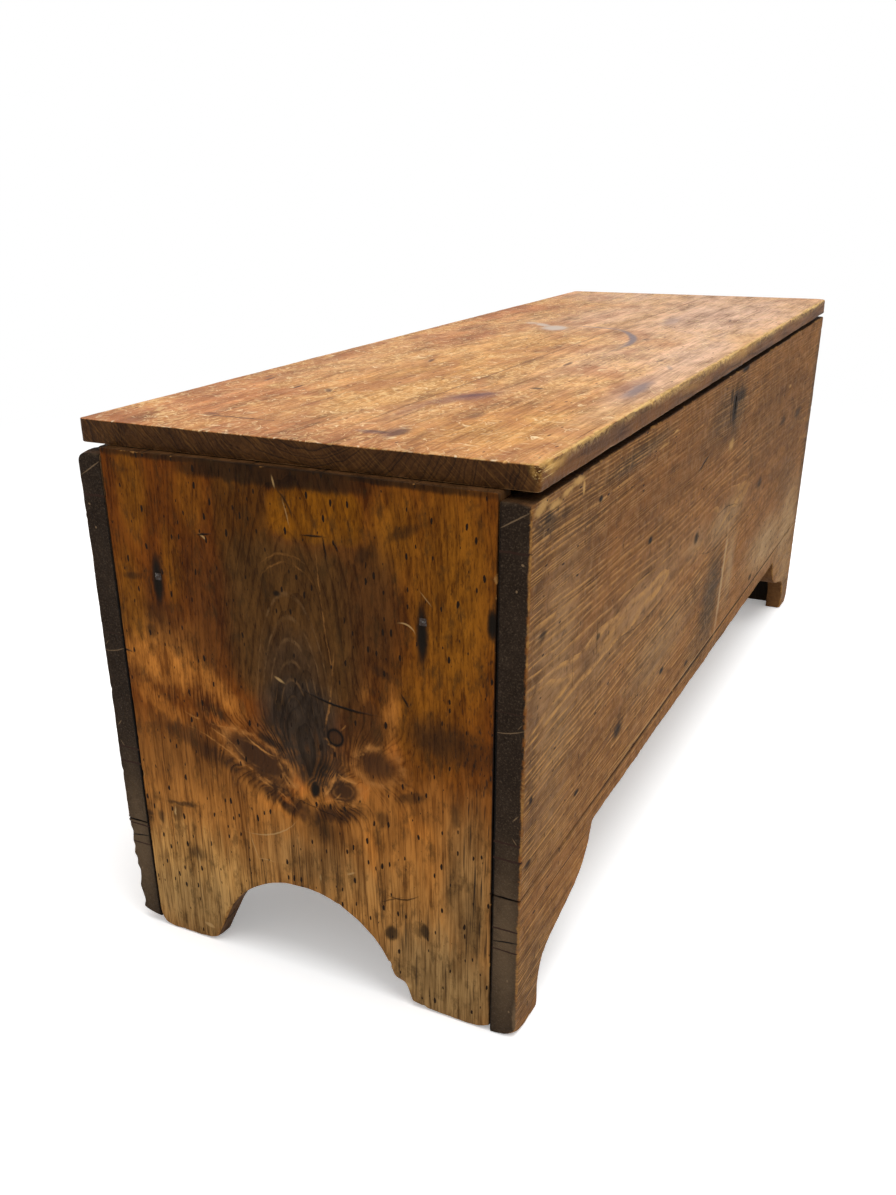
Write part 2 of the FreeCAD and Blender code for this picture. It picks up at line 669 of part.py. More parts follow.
def lock_plate():
    """Plate on the front's inner face, with the selvedge over its top and the bolt's ledges."""
    body = new_body("lock_plate")
    place(body, "Sizes.keyhole_offset", FRONT_INSIDE, BOARD_TOP)
    face = new_sketch(body, "LockFace", "XZ_Plane")
    rectangle(face, f"-{PLATE_WIDTH} / 2", "-Sizes.lock_plate_height",
              PLATE_WIDTH, "Sizes.lock_plate_height")
    pad(body, face, "Sizes.lock_plate_thickness", backwards=True)
    selvedge = new_sketch(body, "Selvedge", "XY_Plane")
    rectangle(selvedge, f"-{PLATE_WIDTH} / 2", "-Sizes.selvedge_depth",
              PLATE_WIDTH, "Sizes.selvedge_depth + Sizes.lock_plate_thickness")
    pad(body, selvedge, "Sizes.lock_plate_thickness")
    ledges = new_sketch(body, "BoltLedges", "XZ_Plane")
    for left in (BAR_LEFT, f"{BAR_LEFT} + {BAR_LENGTH} - Sizes.bolt_ledge_length"):
        top = f"({BAR_FOOT} - {BOARD_TOP} - Sizes.bolt_running_clearance)"
        rectangle(ledges, left, f"{top} - Sizes.bolt_ledge", "Sizes.bolt_ledge_length", "Sizes.bolt_ledge")
    pad(body, ledges, f"({FRONT_INSIDE} - {STAPLE_Y})")
    slots = new_sketch(body, "StapleSlots", "XY_Plane")
    for way in "-+":
        width = "(Sizes.staple_thickness + 2 * Sizes.staple_clearance)"
        length = "(Sizes.staple_width + 2 * Sizes.staple_clearance)"
        rectangle(slots, f"{way} Sizes.staple_pitch / 2 - {width} / 2",
                  f"{STAPLE_Y} - {FRONT_INSIDE} - {length} / 2", width, length)
    pocket(body, slots, "Sizes.lock_plate_thickness", backwards=True)
    centres = [(f"{way} ({PLATE_WIDTH} / 2 - Sizes.lock_screw_inset)", height)
               for way in "-+" for height in ("-2 * Sizes.lock_screw_inset",
                                              "Sizes.lock_screw_inset - Sizes.lock_plate_height")]
    countersink(body, "Lock", "XZ_Plane", "-Sizes.lock_plate_thickness", centres, True)
    screws = []
    for index, (across, up) in enumerate(centres, start=1):
        head = (f"(Sizes.keyhole_offset + {across})",
                f"({FRONT_INSIDE} + Sizes.lock_plate_thickness)", f"({BOARD_TOP} + {up})")
        screws.append(screw(f"lock_screw_{index}", head, "-Y"))
    group("lock_screws", screws)


def lock_cap():
    """Folded box that covers the works inside the mortise, pierced by the keyhole."""
    body = new_body("lock_cap")
    place(body, "Sizes.keyhole_offset", FRONT_INSIDE, BOARD_TOP)
    face = new_sketch(body, "CapFace", "XZ_Plane")
    rectangle(face, f"-{BOX_WIDTH} / 2", "-Sizes.lock_box_height", BOX_WIDTH, "Sizes.lock_box_height")
    pad(body, face, "Sizes.lock_box_depth")
    hollow = new_sketch(body, "CapHollow", "XZ_Plane")
    rectangle(hollow, f"Sizes.lock_box_wall - {BOX_WIDTH} / 2",
              "Sizes.lock_box_wall - Sizes.lock_box_height",
              f"{BOX_WIDTH} - 2 * Sizes.lock_box_wall",
              "Sizes.lock_box_height - Sizes.lock_box_wall")
    pocket(body, hollow, "Sizes.lock_box_depth - Sizes.lock_box_wall", backwards=True)
    hole = new_sketch(body, "CapKeyhole", "XZ_Plane")
    keyhole(hole, "0", "-Sizes.keyhole_drop")
    pocket(body, hole, backwards=True)


def lock_bolt():
    """Sliding bolt: a bar notched for the key, and two fingers that enter the staples."""
    body = new_body("lock_bolt")
    place(body, "Sizes.keyhole_offset", STAPLE_Y, BAR_FOOT)
    bar = new_sketch(body, "BoltBar", "XZ_Plane", "Sizes.bolt_finger_size / 2")
    rectangle(bar, BAR_LEFT, "0", f"-Sizes.bolt_notch / 2 - {BAR_LEFT}", "Sizes.bolt_bar_height")
    rectangle(bar, "Sizes.bolt_notch / 2", "0",
              f"{BAR_LEFT} + {BAR_LENGTH} - Sizes.bolt_notch / 2", "Sizes.bolt_bar_height")
    depth = f"({FRONT_INSIDE} - Sizes.bolt_running_clearance - {STAPLE_Y} + Sizes.bolt_finger_size / 2)"
    bridge = new_sketch(body, "BoltBridge", "XZ_Plane", "Sizes.bolt_finger_size / 2")
    rectangle(bridge, BAR_LEFT, "Sizes.bolt_bar_height / 2", BAR_LENGTH, "Sizes.bolt_bar_height / 2")
    pad(body, bridge, depth, backwards=True)
    pad(body, bar, depth, backwards=True)
    finger_low = f"({EYE_Z} + (Sizes.staple_eye_height - Sizes.bolt_finger_size) / 2 - {BAR_FOOT})"
    for step, way in enumerate("-+"):
        staple = f"({way} Sizes.staple_pitch / 2 - Sizes.staple_thickness / 2)"
        tip = f"({staple} - Sizes.bolt_tip_clearance)"
        riser = new_sketch(body, f"BoltRiser{step}", "XZ_Plane", "Sizes.bolt_finger_size / 2")
        rectangle(riser, f"{tip} - Sizes.bolt_finger_length - Sizes.bolt_finger_back",
                  "Sizes.bolt_bar_height / 2", "Sizes.bolt_finger_back",
                  f"{finger_low} + Sizes.bolt_finger_size - Sizes.bolt_bar_height / 2")
        pad(body, riser, "Sizes.bolt_finger_size", backwards=True)
        finger = new_sketch(body, f"BoltFinger{step}", "XZ_Plane", "Sizes.bolt_finger_size / 2")
        rectangle(finger, f"{tip} - Sizes.bolt_finger_length", finger_low,
                  "Sizes.bolt_finger_length", "Sizes.bolt_finger_size")
        pad(body, finger, "Sizes.bolt_finger_size", backwards=True)


def lock_spring():
    """Leaf spring: a foot riveted to the plate and a thin tongue that bears on the bolt."""
    body = new_body("lock_spring")
    place(body, "Sizes.keyhole_offset - Sizes.spring_tip", FRONT_INSIDE,
          f"{BAR_TOP} + Sizes.bolt_running_clearance")
    rise, thick, foot = size("spring_rise"), size("spring_thickness"), size("spring_foot")
    length = ((size("staple_pitch") - size("staple_thickness")) / 2
              - size("spring_tip") - foot - size("spring_clearance"))
    outline = [Vector(0, 0), Vector(0, thick), Vector(-length, rise + thick),
               Vector(-length, rise + foot), Vector(-length - foot, rise + foot),
               Vector(-length - foot, rise), Vector(-length, rise)]
    leaf = new_sketch(body, "SpringLeaf", "XZ_Plane")
    for start, end in zip(outline, outline[1:] + outline[:1]):
        leaf.addGeometry(Part.LineSegment(start, end))
    chain(leaf, 0, len(outline))
    for upright in (0, 2, 4):
        tie(leaf, "Vertical", upright)
    for level in (3, 5):
        tie(leaf, "Horizontal", level)
    place_end(leaf, "0", "0", 0, 1)
    dimension(leaf, "Sizes.spring_thickness", "DistanceY", 0, 1, 0, 2, thick)
    dimension(leaf, SPRING_LENGTH, "DistanceX", 6, 1, 6, 2, length)
    dimension(leaf, "Sizes.spring_rise", "DistanceY", 6, 2, 6, 1, rise)
    dimension(leaf, SPRING_LENGTH, "DistanceX", 2, 1, 0, 1, length)
    dimension(leaf, "Sizes.spring_thickness", "DistanceY", 6, 1, 2, 1, thick)
    dimension(leaf, "Sizes.spring_foot", "DistanceX", 3, 2, 3, 1, foot)
    dimension(leaf, "Sizes.spring_foot", "DistanceY", 4, 2, 4, 1, foot)
    pad(body, leaf, "Sizes.spring_width")


def lock_key_pin():
    """The pin that a hollow key turns on."""
    length = "Sizes.lock_box_depth - Sizes.lock_box_wall - Sizes.key_pin_clearance"
    pin = turned("Part::Cylinder", "KeyPin", TOWARDS["-Y"],
                 ("Sizes.keyhole_offset", FRONT_INSIDE, KEYHOLE_Z),
                 Radius="Sizes.key_pin_radius", Height=length)
    keep("lock_key_pin", pin)


def lock_strike():
    """Plate let on under the lid, with two staples that drop into the lock."""
    body = new_body("lock_strike")
    place(body, "Sizes.keyhole_offset", STAPLE_Y, STRIKE_FACE)
    plate = new_sketch(body, "StrikePlate", "XY_Plane")
    rectangle(plate, "-Sizes.strike_length / 2", "-Sizes.strike_width / 2",
              "Sizes.strike_length", "Sizes.strike_width")
    pad(body, plate, "Sizes.strike_thickness")
    for step, way in enumerate("-+"):
        left = f"{way} Sizes.staple_pitch / 2 - Sizes.staple_thickness / 2"
        staple = new_sketch(body, f"Staple{step}", "YZ_Plane", left)
        rectangle(staple, "-Sizes.staple_width / 2", "-Sizes.staple_drop",
                  "Sizes.staple_width", "Sizes.staple_drop")
        pad(body, staple, "Sizes.staple_thickness")
    eye = new_sketch(body, "StapleEyes", "YZ_Plane", "-Sizes.strike_length / 2")
    rectangle(eye, "-Sizes.staple_eye_width / 2", f"{EYE_Z} - {STRIKE_FACE}",
              "Sizes.staple_eye_width", "Sizes.staple_eye_height")
    pocket(body, eye, "Sizes.strike_length", backwards=True)
    centres = [(f"{way} (Sizes.strike_length / 2 - Sizes.strike_screw_inset)", "0") for way in "-+"]
    countersink(body, "Strike", "XY_Plane", None, centres, True)
    screws = []
    for index, (across, _) in enumerate(centres, start=1):
        head = (f"(Sizes.keyhole_offset + {across})", STAPLE_Y, STRIKE_FACE)
        screws.append(screw(f"strike_screw_{index}", head, "+Z"))
    group("strike_screws", screws)


# --- nails ----------------------------------------------------------------------------


def nail_face(face, way):
    """Where a nail's head lies once it is set below a face and stopped over."""
    return f"({face} {way[0]} Sizes.nail_set)"


def corner_nails(name, face, way, low, top, count):
    """Nails through a front or back board into the end boards, evenly from low to top."""
    face = nail_face(face, way)
    nails = []
    for side in "-+":
        across = f"({side} ({HALF_LENGTH} - Sizes.end_thickness / 2))"
        for step in range(count):
            head = (across, face, f"({low} + {step} / {count - 1} * ({top} - {low}))")
            nails.append(nail(f"{name}{'LR'[side == '+']}{step}", head, way, "Sizes.nail_length"))
    group(name, nails)


def bottom_nails(name, face, way):
    """Nails through a front or back board into the edge of the bottom."""
    face = nail_face(face, way)
    up = f"({BOTTOM_FOOT} + Sizes.bottom_thickness / 2)"
    nails = []
    for step in (-1, 0, 1):
        across = f"(Sizes.bottom_nail_offset {step:+d} * Sizes.bottom_nail_pitch)"
        nails.append(nail(f"{name}{step + 1}", (across, face, up), way, "Sizes.nail_length"))
    group(name, nails)


def end_nails():
    """Two old nails left in the left end board, where a handle or a cleat was once held."""
    middle = f"(({FRONT_FACE} + {BACK_FACE}) / 2 + Sizes.arch_offset)"
    nails = []
    for index, way in enumerate("-+"):
        head = (f"(-{HALF_LENGTH})", f"({middle} {way} Sizes.end_nail_pitch / 2)", "Sizes.end_nail_height")
        nails.append(nail(f"EndNail{index}", head, "+X", "Sizes.end_nail_length"))
    group("left_end_nails", nails)


# --- the chest ------------------------------------------------------------------------

HINGE_MIDDLES = {
    "left": f"(Sizes.hinge_inset - {HALF_LENGTH})",
    "right": f"({HALF_LENGTH} - Sizes.hinge_inset)",
}

front_board()
back_board()
bracket_skirt("front", FRONT_FACE)
bracket_skirt("back", BACK_INSIDE)
end_board("left_end_board", f"-{HALF_LENGTH}")
end_board("right_end_board", f"{HALF_LENGTH} - Sizes.end_thickness")
bottom_board()
lid_board()

for side, middle in HINGE_MIDDLES.items():
    hinge(side, middle)
hinge_screws("hinge_case_screws", f"({BOARD_TOP} + {LEAF_THICKNESS})", "-Z")
hinge_screws("hinge_lid_screws", f"(Sizes.case_height - {LEAF_THICKNESS})", "+Z")

lock_plate()
lock_cap()
lock_bolt()
lock_spring()
lock_key_pin()
lock_strike()

for side, face, way in (("front", FRONT_FACE, "+Y"), ("back", BACK_FACE, "-Y")):
    seam = f"Sizes.{side}_skirt_height"
    corner_nails(f"{side}_nails", face, way, f"({seam} + Sizes.case_nail_rise)",
                 f"({BOARD_TOP} - Sizes.case_nail_drop)", 3)
    corner_nails(f"{side}_skirt_nails", face, way, "Sizes.skirt_nail_rise",
                 f"({seam} - Sizes.skirt_nail_drop)", 2)
    bottom_nails(f"{side}_bottom_nails", face, way)
end_nails()

doc.recompute()

for thing in doc.Objects:
    if "Invalid" in thing.State or "Error" in thing.State:
        raise RuntimeError(f"{thing.Label} failed: {thing.State}")
for name, thing in parts.items():
    if thing.Shape.isNull() or not thing.Shape.isValid():
        raise RuntimeError(f"{name} has no valid shape")

os.makedirs("parts", exist_ok=True)
for name, thing in parts.items():
    thing.Shape.exportStep(f"parts/{name}.step")
    box = thing.Shape.BoundBox
    print(f"{name}: {len(thing.Shape.Solids)} solids, {thing.Shape.Volume:.0f} mm3, "
          f"{box.XLength:.1f} x {box.YLength:.1f} x {box.ZLength:.1f} mm, lowest {box.ZMin:.1f}")
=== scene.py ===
# %% [markdown]
# # A pine blanket chest, seen as the old and much-used thing that it is
#
# The construction is already settled: every board, hinge and screw is in the frame, at its
# real size. This lesson gives the boards the look of two centuries of use. Each board is
# built anew as a worn solid in the place of the square one, and each gets a solid pine
# material whose growth rings run through it, so that faces and end grain agree.

# %% Load the frame
import math

import bmesh
import bpy
import numpy as np
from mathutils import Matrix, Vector


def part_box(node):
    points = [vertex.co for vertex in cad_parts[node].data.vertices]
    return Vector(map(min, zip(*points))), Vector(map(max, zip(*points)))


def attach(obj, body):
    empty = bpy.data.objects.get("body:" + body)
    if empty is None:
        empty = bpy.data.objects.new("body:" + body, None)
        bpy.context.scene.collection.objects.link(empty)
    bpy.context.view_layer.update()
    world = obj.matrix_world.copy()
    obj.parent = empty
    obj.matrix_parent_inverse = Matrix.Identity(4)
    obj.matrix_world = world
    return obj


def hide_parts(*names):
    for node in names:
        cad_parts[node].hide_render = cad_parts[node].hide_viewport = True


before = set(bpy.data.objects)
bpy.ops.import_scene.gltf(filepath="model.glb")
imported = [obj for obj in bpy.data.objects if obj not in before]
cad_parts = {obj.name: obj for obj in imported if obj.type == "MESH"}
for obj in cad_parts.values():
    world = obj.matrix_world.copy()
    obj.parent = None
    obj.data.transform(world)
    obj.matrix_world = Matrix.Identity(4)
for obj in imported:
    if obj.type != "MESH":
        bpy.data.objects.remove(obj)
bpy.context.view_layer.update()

MM = 0.001

# %% [markdown]
# ## The camera
#
# A low three-quarter view of the left end, close enough for strong perspective. A lens is
# given by its focal length on a 36 mm film. The film is shifted instead of tilting the camera
# further, as a view camera does, so that the uprights stay nearly upright.

# %% Camera
EYE = np.array([-1302.6, -472.9, 668.9]) * MM
YAW, PITCH, ROLL = np.radians([62.717, 25.223, -0.738])
FOCAL_MM = 33.55
SHIFT = (0.0235, 0.0883)


def add_camera():
    """Camera axes: forward turned by yaw from +Y and down by pitch, then rolled about itself."""
    forward = np.array([math.sin(YAW) * math.cos(PITCH), math.cos(YAW) * math.cos(PITCH), -math.sin(PITCH)])
    level = np.array([math.cos(YAW), -math.sin(YAW), 0.0])
    upright = np.cross(level, forward)
    right = math.cos(ROLL) * level + math.sin(ROLL) * upright
    up = np.cross(right, forward)
    data = bpy.data.cameras.new("camera")
    data.lens, data.sensor_width = FOCAL_MM, 36.0
    data.shift_x, data.shift_y = SHIFT
    data.clip_end = 50.0
    camera = bpy.data.objects.new("camera", data)
    bpy.context.collection.objects.link(camera)
    matrix = np.eye(4)
    matrix[:3, :4] = np.column_stack([right, up, -forward, EYE])
    camera.matrix_world = matrix.T
    bpy.context.scene.camera = camera
    return camera


add_camera()

# %% [markdown]
# ## The light and the paper
#
# The chest stands on a wide sheet of white paper in a white room, under one broad lamp overhead,
# so that its shadow is soft and lies close to it. Paper lit like this comes out a light grey. A
# stronger lamp would whiten it, but would bleach the lid too. So the eye is shown a brighter
# sheet than the plain one that throws its light on the wood.

# %% Light, floor and the white surround
bpy.context.scene.view_settings.view_transform = "Standard"

# The room's strength as a light, where it is seen at one. The paper's half width in metres, how
# far out it starts and ends to fade into the room, and what it gives back and glows by when seen.
ROOM_LIGHT = 0.62
PAPER_HALF = 12.0
FADE_FROM, FADE_TO = 1.1, 2.6
PAPER_GAIN, PAPER_GLOW = 1.16, 0.26


def srgb(hex_code):
    """A hex colour such as #a05a2c as the linear RGBA that Blender's sockets hold."""
    parts = np.array([int(hex_code[i:i + 2], 16) for i in (1, 3, 5)]) / 255
    linear = np.where(parts <= 0.04045, parts / 12.92, ((parts + 0.055) / 1.055) ** 2.4)
    return (*linear.tolist(), 1.0)


def add(tree, kind, *given, **settings):
    """Add a node, set its properties, and fill its inputs with values, with sockets or with nodes.

    The kind is the node's type, and after a dot its operation. What is given goes to the inputs in
    their order, as Map Range's value, from low, from high, to low and to high do, or it is one
    dictionary by name or number. A node as a value stands for its first live output.
    """
    kind, _, operation = kind.partition(".")
    node = tree.nodes.new("ShaderNode" + kind)
    if operation:
        node.operation = operation
    for name, setting in settings.items():
        setattr(node, name, setting)
    inputs = given[0] if given and isinstance(given[0], dict) else dict(enumerate(given))
    for key, value in inputs.items():
        live = [socket for socket in node.inputs if socket.enabled and socket.name == key]
        socket = live[0] if live else node.inputs[key]
        if isinstance(value, bpy.types.Node):
            value = next(output for output in value.outputs if output.enabled)
        if isinstance(value, bpy.types.NodeSocket):
            tree.links.new(value, socket)
        else:
            socket.default_value = value
    return node


def new_material(name):
    material = bpy.data.materials.new(name)
    material.use_nodes = True
    material.node_tree.nodes.clear()
    return material


def seen_or_mirrored(tree):
    """One for a ray that the eye follows, straight, off a gloss or through glass, and else nought."""
    path = add(tree, "LightPath")
    eye = add(tree, "Math.MAXIMUM", path.outputs["Is Camera Ray"], path.outputs["Is Glossy Ray"])
    return add(tree, "Math.MAXIMUM", eye, path.outputs["Is Transmission Ray"])


def white_surround():
    world = bpy.data.worlds.new("surround")
    world.use_nodes = True
    tree = world.node_tree
    tree.nodes.clear()
    strength = add(tree, "MapRange", seen_or_mirrored(tree), 0.0, 1.0, ROOM_LIGHT, 1.0)
    light = add(tree, "Background", {"Color": srgb("#ffffff"), "Strength": strength.outputs[0]})
    add(tree, "OutputWorld", {"Surface": light.outputs[0]})
    bpy.context.scene.world = world


def add_lamp(name, place, towards, size, watts):
    data = bpy.data.lights.new(name, "AREA")
    data.shape, data.size, data.energy = "DISK", size, watts
    lamp = bpy.data.objects.new(name, data)
    bpy.context.collection.objects.link(lamp)
    lamp.location = place
    lamp.rotation_euler = (Vector(towards) - Vector(place)).to_track_quat("-Z", "Y").to_euler()
    return lamp


def add_floor():
    """A wide white sheet, plain to the wood that it lights.

    The eye sees gain times light plus glow, which is white wherever no shadow falls. Further out
    the sheet fades into the room's white, as paper does that is curved up behind.
    """
    data = bpy.data.meshes.new("floor")
    corners = [(x * PAPER_HALF, y * PAPER_HALF, 0) for x, y in ((-1, -1), (1, -1), (1, 1), (-1, 1))]
    data.from_pydata(corners, [], [(0, 1, 2, 3)])
    floor = bpy.data.objects.new("floor", data)
    bpy.context.collection.objects.link(floor)
    material = new_material("white paper")
    tree = material.node_tree
    where = add(tree, "TexCoord")
    away = add(tree, "VectorMath.LENGTH", where.outputs["Object"])
    far = add(tree, "MapRange", away.outputs["Value"], FADE_FROM, FADE_TO, interpolation_type="SMOOTHSTEP")
    paper = add(tree, "BsdfDiffuse", {"Color": srgb("#f4f4f4")})
    bright = add(tree, "BsdfDiffuse", {"Color": (PAPER_GAIN, PAPER_GAIN, PAPER_GAIN, 1.0)})
    lift = add(tree, "Emission", {"Color": srgb("#ffffff"), "Strength": PAPER_GLOW})
    near = add(tree, "AddShader", bright, lift)
    white = add(tree, "Emission", {"Color": srgb("#ffffff"), "Strength": 1.0})
    seen = add(tree, "MixShader", far, near, white)
    sheet = add(tree, "MixShader", seen_or_mirrored(tree), paper, seen)
    add(tree, "OutputMaterial", {"Surface": sheet})
    data.materials.append(material)


white_surround()
add_lamp("overhead", (-0.6, -0.8, 3.2), (0.0, 0.0, 0.2), 2.4, 60.0)
add_floor()

# %% [markdown]
# ## Boards worn by use
#
# A square board straight from the construction looks new: every arris is a ruled line. On an old
# chest the arrises are rounded by hands and feet, nicked by knocks, and the corners of the feet
# are gone. A Bevel modifier would round all of them alike. Here each board is lofted instead: a
# profile, which runs from the middle of one face over the arris, across the edge, over the other
# arris and in again, is carried round the board's outline, and its radius changes as it goes.
# The outline is read from the board's own flat face in the frame, so that a coved foot or an
# arch stays exactly where the construction has it.

# %% The outline of a board, from the frame
# Which axes run across and up a show face, which runs into the board, and whether inwards is plus.
FACINGS = {"front": (0, 2, 1, 1), "back": (0, 2, 1, -1), "left": (1, 2, 0, 1), "right": (1, 2, 0, -1),
           "top": (0, 1, 2, -1)}


def run_along(loop):
    """Running length at each point of a closed loop, and once more at its start."""
    steps = np.linalg.norm(np.roll(loop, -1, axis=0) - loop, axis=1)
    return np.concatenate([[0.0], np.cumsum(steps)])


def face_outlines(node, facing):
    """The closed outlines of a node's show face in mm, longest first.

    The face's triangles lie in one plane. An edge that only one of them has is on an outline,
    and following such edges head to tail gives closed loops.
    """
    across, up, deep, inwards = FACINGS[facing]
    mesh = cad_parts[node].data
    points = np.empty(len(mesh.vertices) * 3)
    mesh.vertices.foreach_get("co", points)
    points = np.round(points.reshape(-1, 3) / MM, 2)
    mesh.calc_loop_triangles()
    corners = np.empty(len(mesh.loop_triangles) * 3, dtype=int)
    mesh.loop_triangles.foreach_get("vertices", corners)
    corners = corners.reshape(-1, 3)
    plane = points[:, deep].min() if inwards > 0 else points[:, deep].max()
    flat = corners[np.all(np.abs(points[corners][:, :, deep] - plane) < 0.02, axis=1)]
    spots, names = np.unique(points[:, [across, up]], axis=0, return_inverse=True)
    names = names.reshape(-1)
    edges = np.vstack([names[flat][:, [i, (i + 1) % 3]] for i in range(3)])
    _, index, counts = np.unique(np.sort(edges, axis=1), axis=0, return_index=True, return_counts=True)
    following = {int(start): int(end) for start, end in edges[index[counts == 1]]}
    loops = []
    while following:
        start, here = following.popitem()
        loop = [start]
        while here != start:
            loop.append(here)
            here = following.pop(here)
        loops.append(spots[loop])
    return sorted(loops, key=lambda loop: -run_along(loop)[-1])


def softened(loop, step, reach):
    """The loop at an even step, blurred round and round, so that its corners become small curves.

    Blurring a closed line is a product of its Fourier series with that of a bell curve.
    """
    run = run_along(loop)
    closed = np.vstack([loop, loop[:1]])
    at = np.linspace(0.0, run[-1], int(run[-1] / step), endpoint=False)
    even = np.column_stack([np.interp(at, run, closed[:, i]) for i in (0, 1)])
    waves = np.fft.rfftfreq(len(even), d=run[-1] / len(even))
    bell = np.exp(-2.0 * (math.pi * waves * reach) ** 2)
    return np.fft.irfft(np.fft.rfft(even, axis=0) * bell[:, None], n=len(even), axis=0)


def wander(rng, length, count, reach):
    """A closed row of smooth random numbers of about unit size, blurred over a length in mm."""
    waves = np.fft.rfftfreq(count, d=length / count)
    bell = np.exp(-2.0 * (math.pi * waves * reach) ** 2)
    row = np.fft.irfft(np.fft.rfft(rng.normal(size=count)) * bell, n=count)
    return row / row.std()


def inner_ring(loop, distance):
    """The loop moved inwards, with mitred corners.

    A moved point is sound while no side of the loop is nearer than the distance. Near a corner it
    isn't, and takes the place of the nearest sound point before or after it, which is the mitre.
    """
    along = np.roll(loop, -1, axis=0) - np.roll(loop, 1, axis=0)
    along /= np.linalg.norm(along, axis=1)[:, None]
    area = np.sum(loop[:, 0] * np.roll(loop[:, 1], -1) - loop[:, 1] * np.roll(loop[:, 0], -1))
    outward = np.column_stack([along[:, 1], -along[:, 0]]) * math.copysign(1.0, area)
    moved = loop - outward * distance
    gap = np.linalg.norm((moved[:, None] - loop[None]).astype(np.float32), axis=2).min(axis=1)
    sound = np.flatnonzero(gap > distance * 0.97)
    here, half = np.arange(len(loop)), len(loop) // 2
    away = np.abs((here[:, None] - sound[None] + half) % len(loop) - half)
    return moved[sound[away.argmin(axis=1)]]


for node, facing in (("front_skirt", "front"), ("left_end_board", "left")):
    print(node, "outline:", round(float(run_along(face_outlines(node, facing)[0])[-1])), "mm round")

# %% The profile of an arris
# In mm: how far the worn board lies inside the square one, the insets where its face turns flat
# and where wear starts to show, a second inset just nearer the arris, and the outline's step.
SKIN = 0.2
FLAT_FROM = 9.0
WEAR_FROM, WEAR_GROWS = 6.4, 6.3
STEP = 1.7
# How much wear shows at those two insets and where the arris begins. Its middle shows one.
FAINT, CLEAR, STRONG = 0.2, 0.45, 0.75
# Nicks in an arris: depth and length, the peak of a random row from which they grow, and the most
# that counts above it. Roughness: shares of the radius and their lengths. Last, the hacks on the
# edge: depth and length.
NICK_DEEP, NICK_LONG, NICK_PEAK, NICK_MOST = 2.2, 2.2, 1.5, 1.3
ROUGHNESS = ((0.28, 14.0), (0.15, 3.0))
HACK_DEEP, HACK_LONG = 0.12, 1.6
# A face of this many corners or more is the flat middle of a side, which isn't smoothed.
FLAT_CORNERS = 40


def profile_rings(show, hidden, thickness):
    """The rings of a board's profile as rows of inset, depth, wear and whether on the edge.

    Over an arris of radius r, inset = r (1 - sin t) and depth = r (1 - cos t), with t from 0 to a
    right angle. The hidden face's rings are the same, with depth measured from that face. An arris
    that is still tight, as in a joint, shows less wear: the wear is scaled by r over 2 mm.
    """
    zero = np.zeros_like(show)
    turns = np.linspace(0.0, math.pi / 2, 6)

    def half(radius):
        worn = np.clip(radius / 2.0, 0.0, 1.0)
        rings = [(zero + FLAT_FROM, zero, zero, 0.0), (zero + WEAR_FROM, zero, FAINT * worn, 0.0),
                 (np.minimum(radius + 1.0, WEAR_GROWS), zero, CLEAR * worn, 0.0)]
        for turn in turns:
            shown = STRONG + (1 - STRONG) * math.sin(2 * turn)
            rings.append((radius * (1 - math.sin(turn)), radius * (1 - math.cos(turn)), shown * worn,
                          turn / math.pi * 2))
        return rings

    near, far = half(show), half(hidden)
    middle = []
    for part in (0.2, 0.4, 0.6, 0.8):
        depth = show + (thickness - show - hidden) * part
        middle.append((zero, depth, zero, 1.0))
    below = [(inset, thickness - depth, wear, edge) for inset, depth, wear, edge in far[::-1]]
    return near + middle + below


print("a profile has", len(profile_rings(np.full(1, 2.0), np.full(1, 1.0), 24.0)), "rings")

# %% Meshes and cuts
def mesh_of(name, points, faces, colours=None):
    """A mesh from points in mm, its seams closed and its faces turned outwards."""
    mesh = bpy.data.meshes.new(name)
    mesh.from_pydata((points * MM).tolist(), [], faces)
    if colours is not None:
        mesh.attributes.new("age", "FLOAT_COLOR", "POINT").data.foreach_set("color", colours.ravel())
    work = bmesh.new()
    work.from_mesh(mesh)
    bmesh.ops.remove_doubles(work, verts=work.verts, dist=0.00002)
    bmesh.ops.recalc_face_normals(work, faces=work.faces)
    work.to_mesh(mesh)
    work.free()
    return mesh


def prism(outline, facing, start, end):
    """A cutter: an outline in mm on a show face, run from one depth to another along its axis."""
    across, up, deep, _ = FACINGS[facing]
    count = len(outline)
    points = np.empty((2 * count, 3))
    points[:, [across, up]] = np.vstack([outline, outline])
    points[:, deep] = np.repeat([start, end], count)
    ring = np.arange(count)
    after = np.roll(ring, -1)
    sides = np.column_stack([ring, after, after + count, ring + count]).tolist()
    mesh = mesh_of("cutter", points, sides + [ring.tolist(), (ring + count).tolist()])
    cutter = bpy.data.objects.new("cutter", mesh)
    bpy.context.collection.objects.link(cutter)
    return cutter


def hollowed(board, cutters):
    """Cut each cutter out of the board for good, and remove the cutters."""
    for cutter in cutters:
        modifier = board.modifiers.new("cut", "BOOLEAN")
        modifier.operation, modifier.solver, modifier.object = "DIFFERENCE", "EXACT", cutter
    evaluated = board.evaluated_get(bpy.context.evaluated_depsgraph_get())
    mesh = bpy.data.meshes.new_from_object(evaluated)
    board.modifiers.clear()
    board.data = mesh
    for cutter in cutters:
        bpy.data.objects.remove(cutter)


def unworn_cuts(board, deep, face, middle):
    """Give the corners that a cut has made no wear, and hidden wood beyond the middle depth.

    The loft's own corners have no alpha, and the ones that a cut makes come with an alpha of one.
    """
    count = len(board.data.vertices)
    age, where = np.empty(count * 4, dtype=np.float32), np.empty(count * 3, dtype=np.float32)
    board.data.attributes["age"].data.foreach_get("color", age)
    board.data.vertices.foreach_get("co", where)
    age, depth = age.reshape(-1, 4), np.abs(where.reshape(-1, 3)[:, deep] / MM - face)
    fresh = age[:, 3] > 0.5
    age[fresh] = 0.0
    age[fresh, 2] = depth[fresh] > middle
    board.data.attributes["age"].data.foreach_set("color", age.ravel())


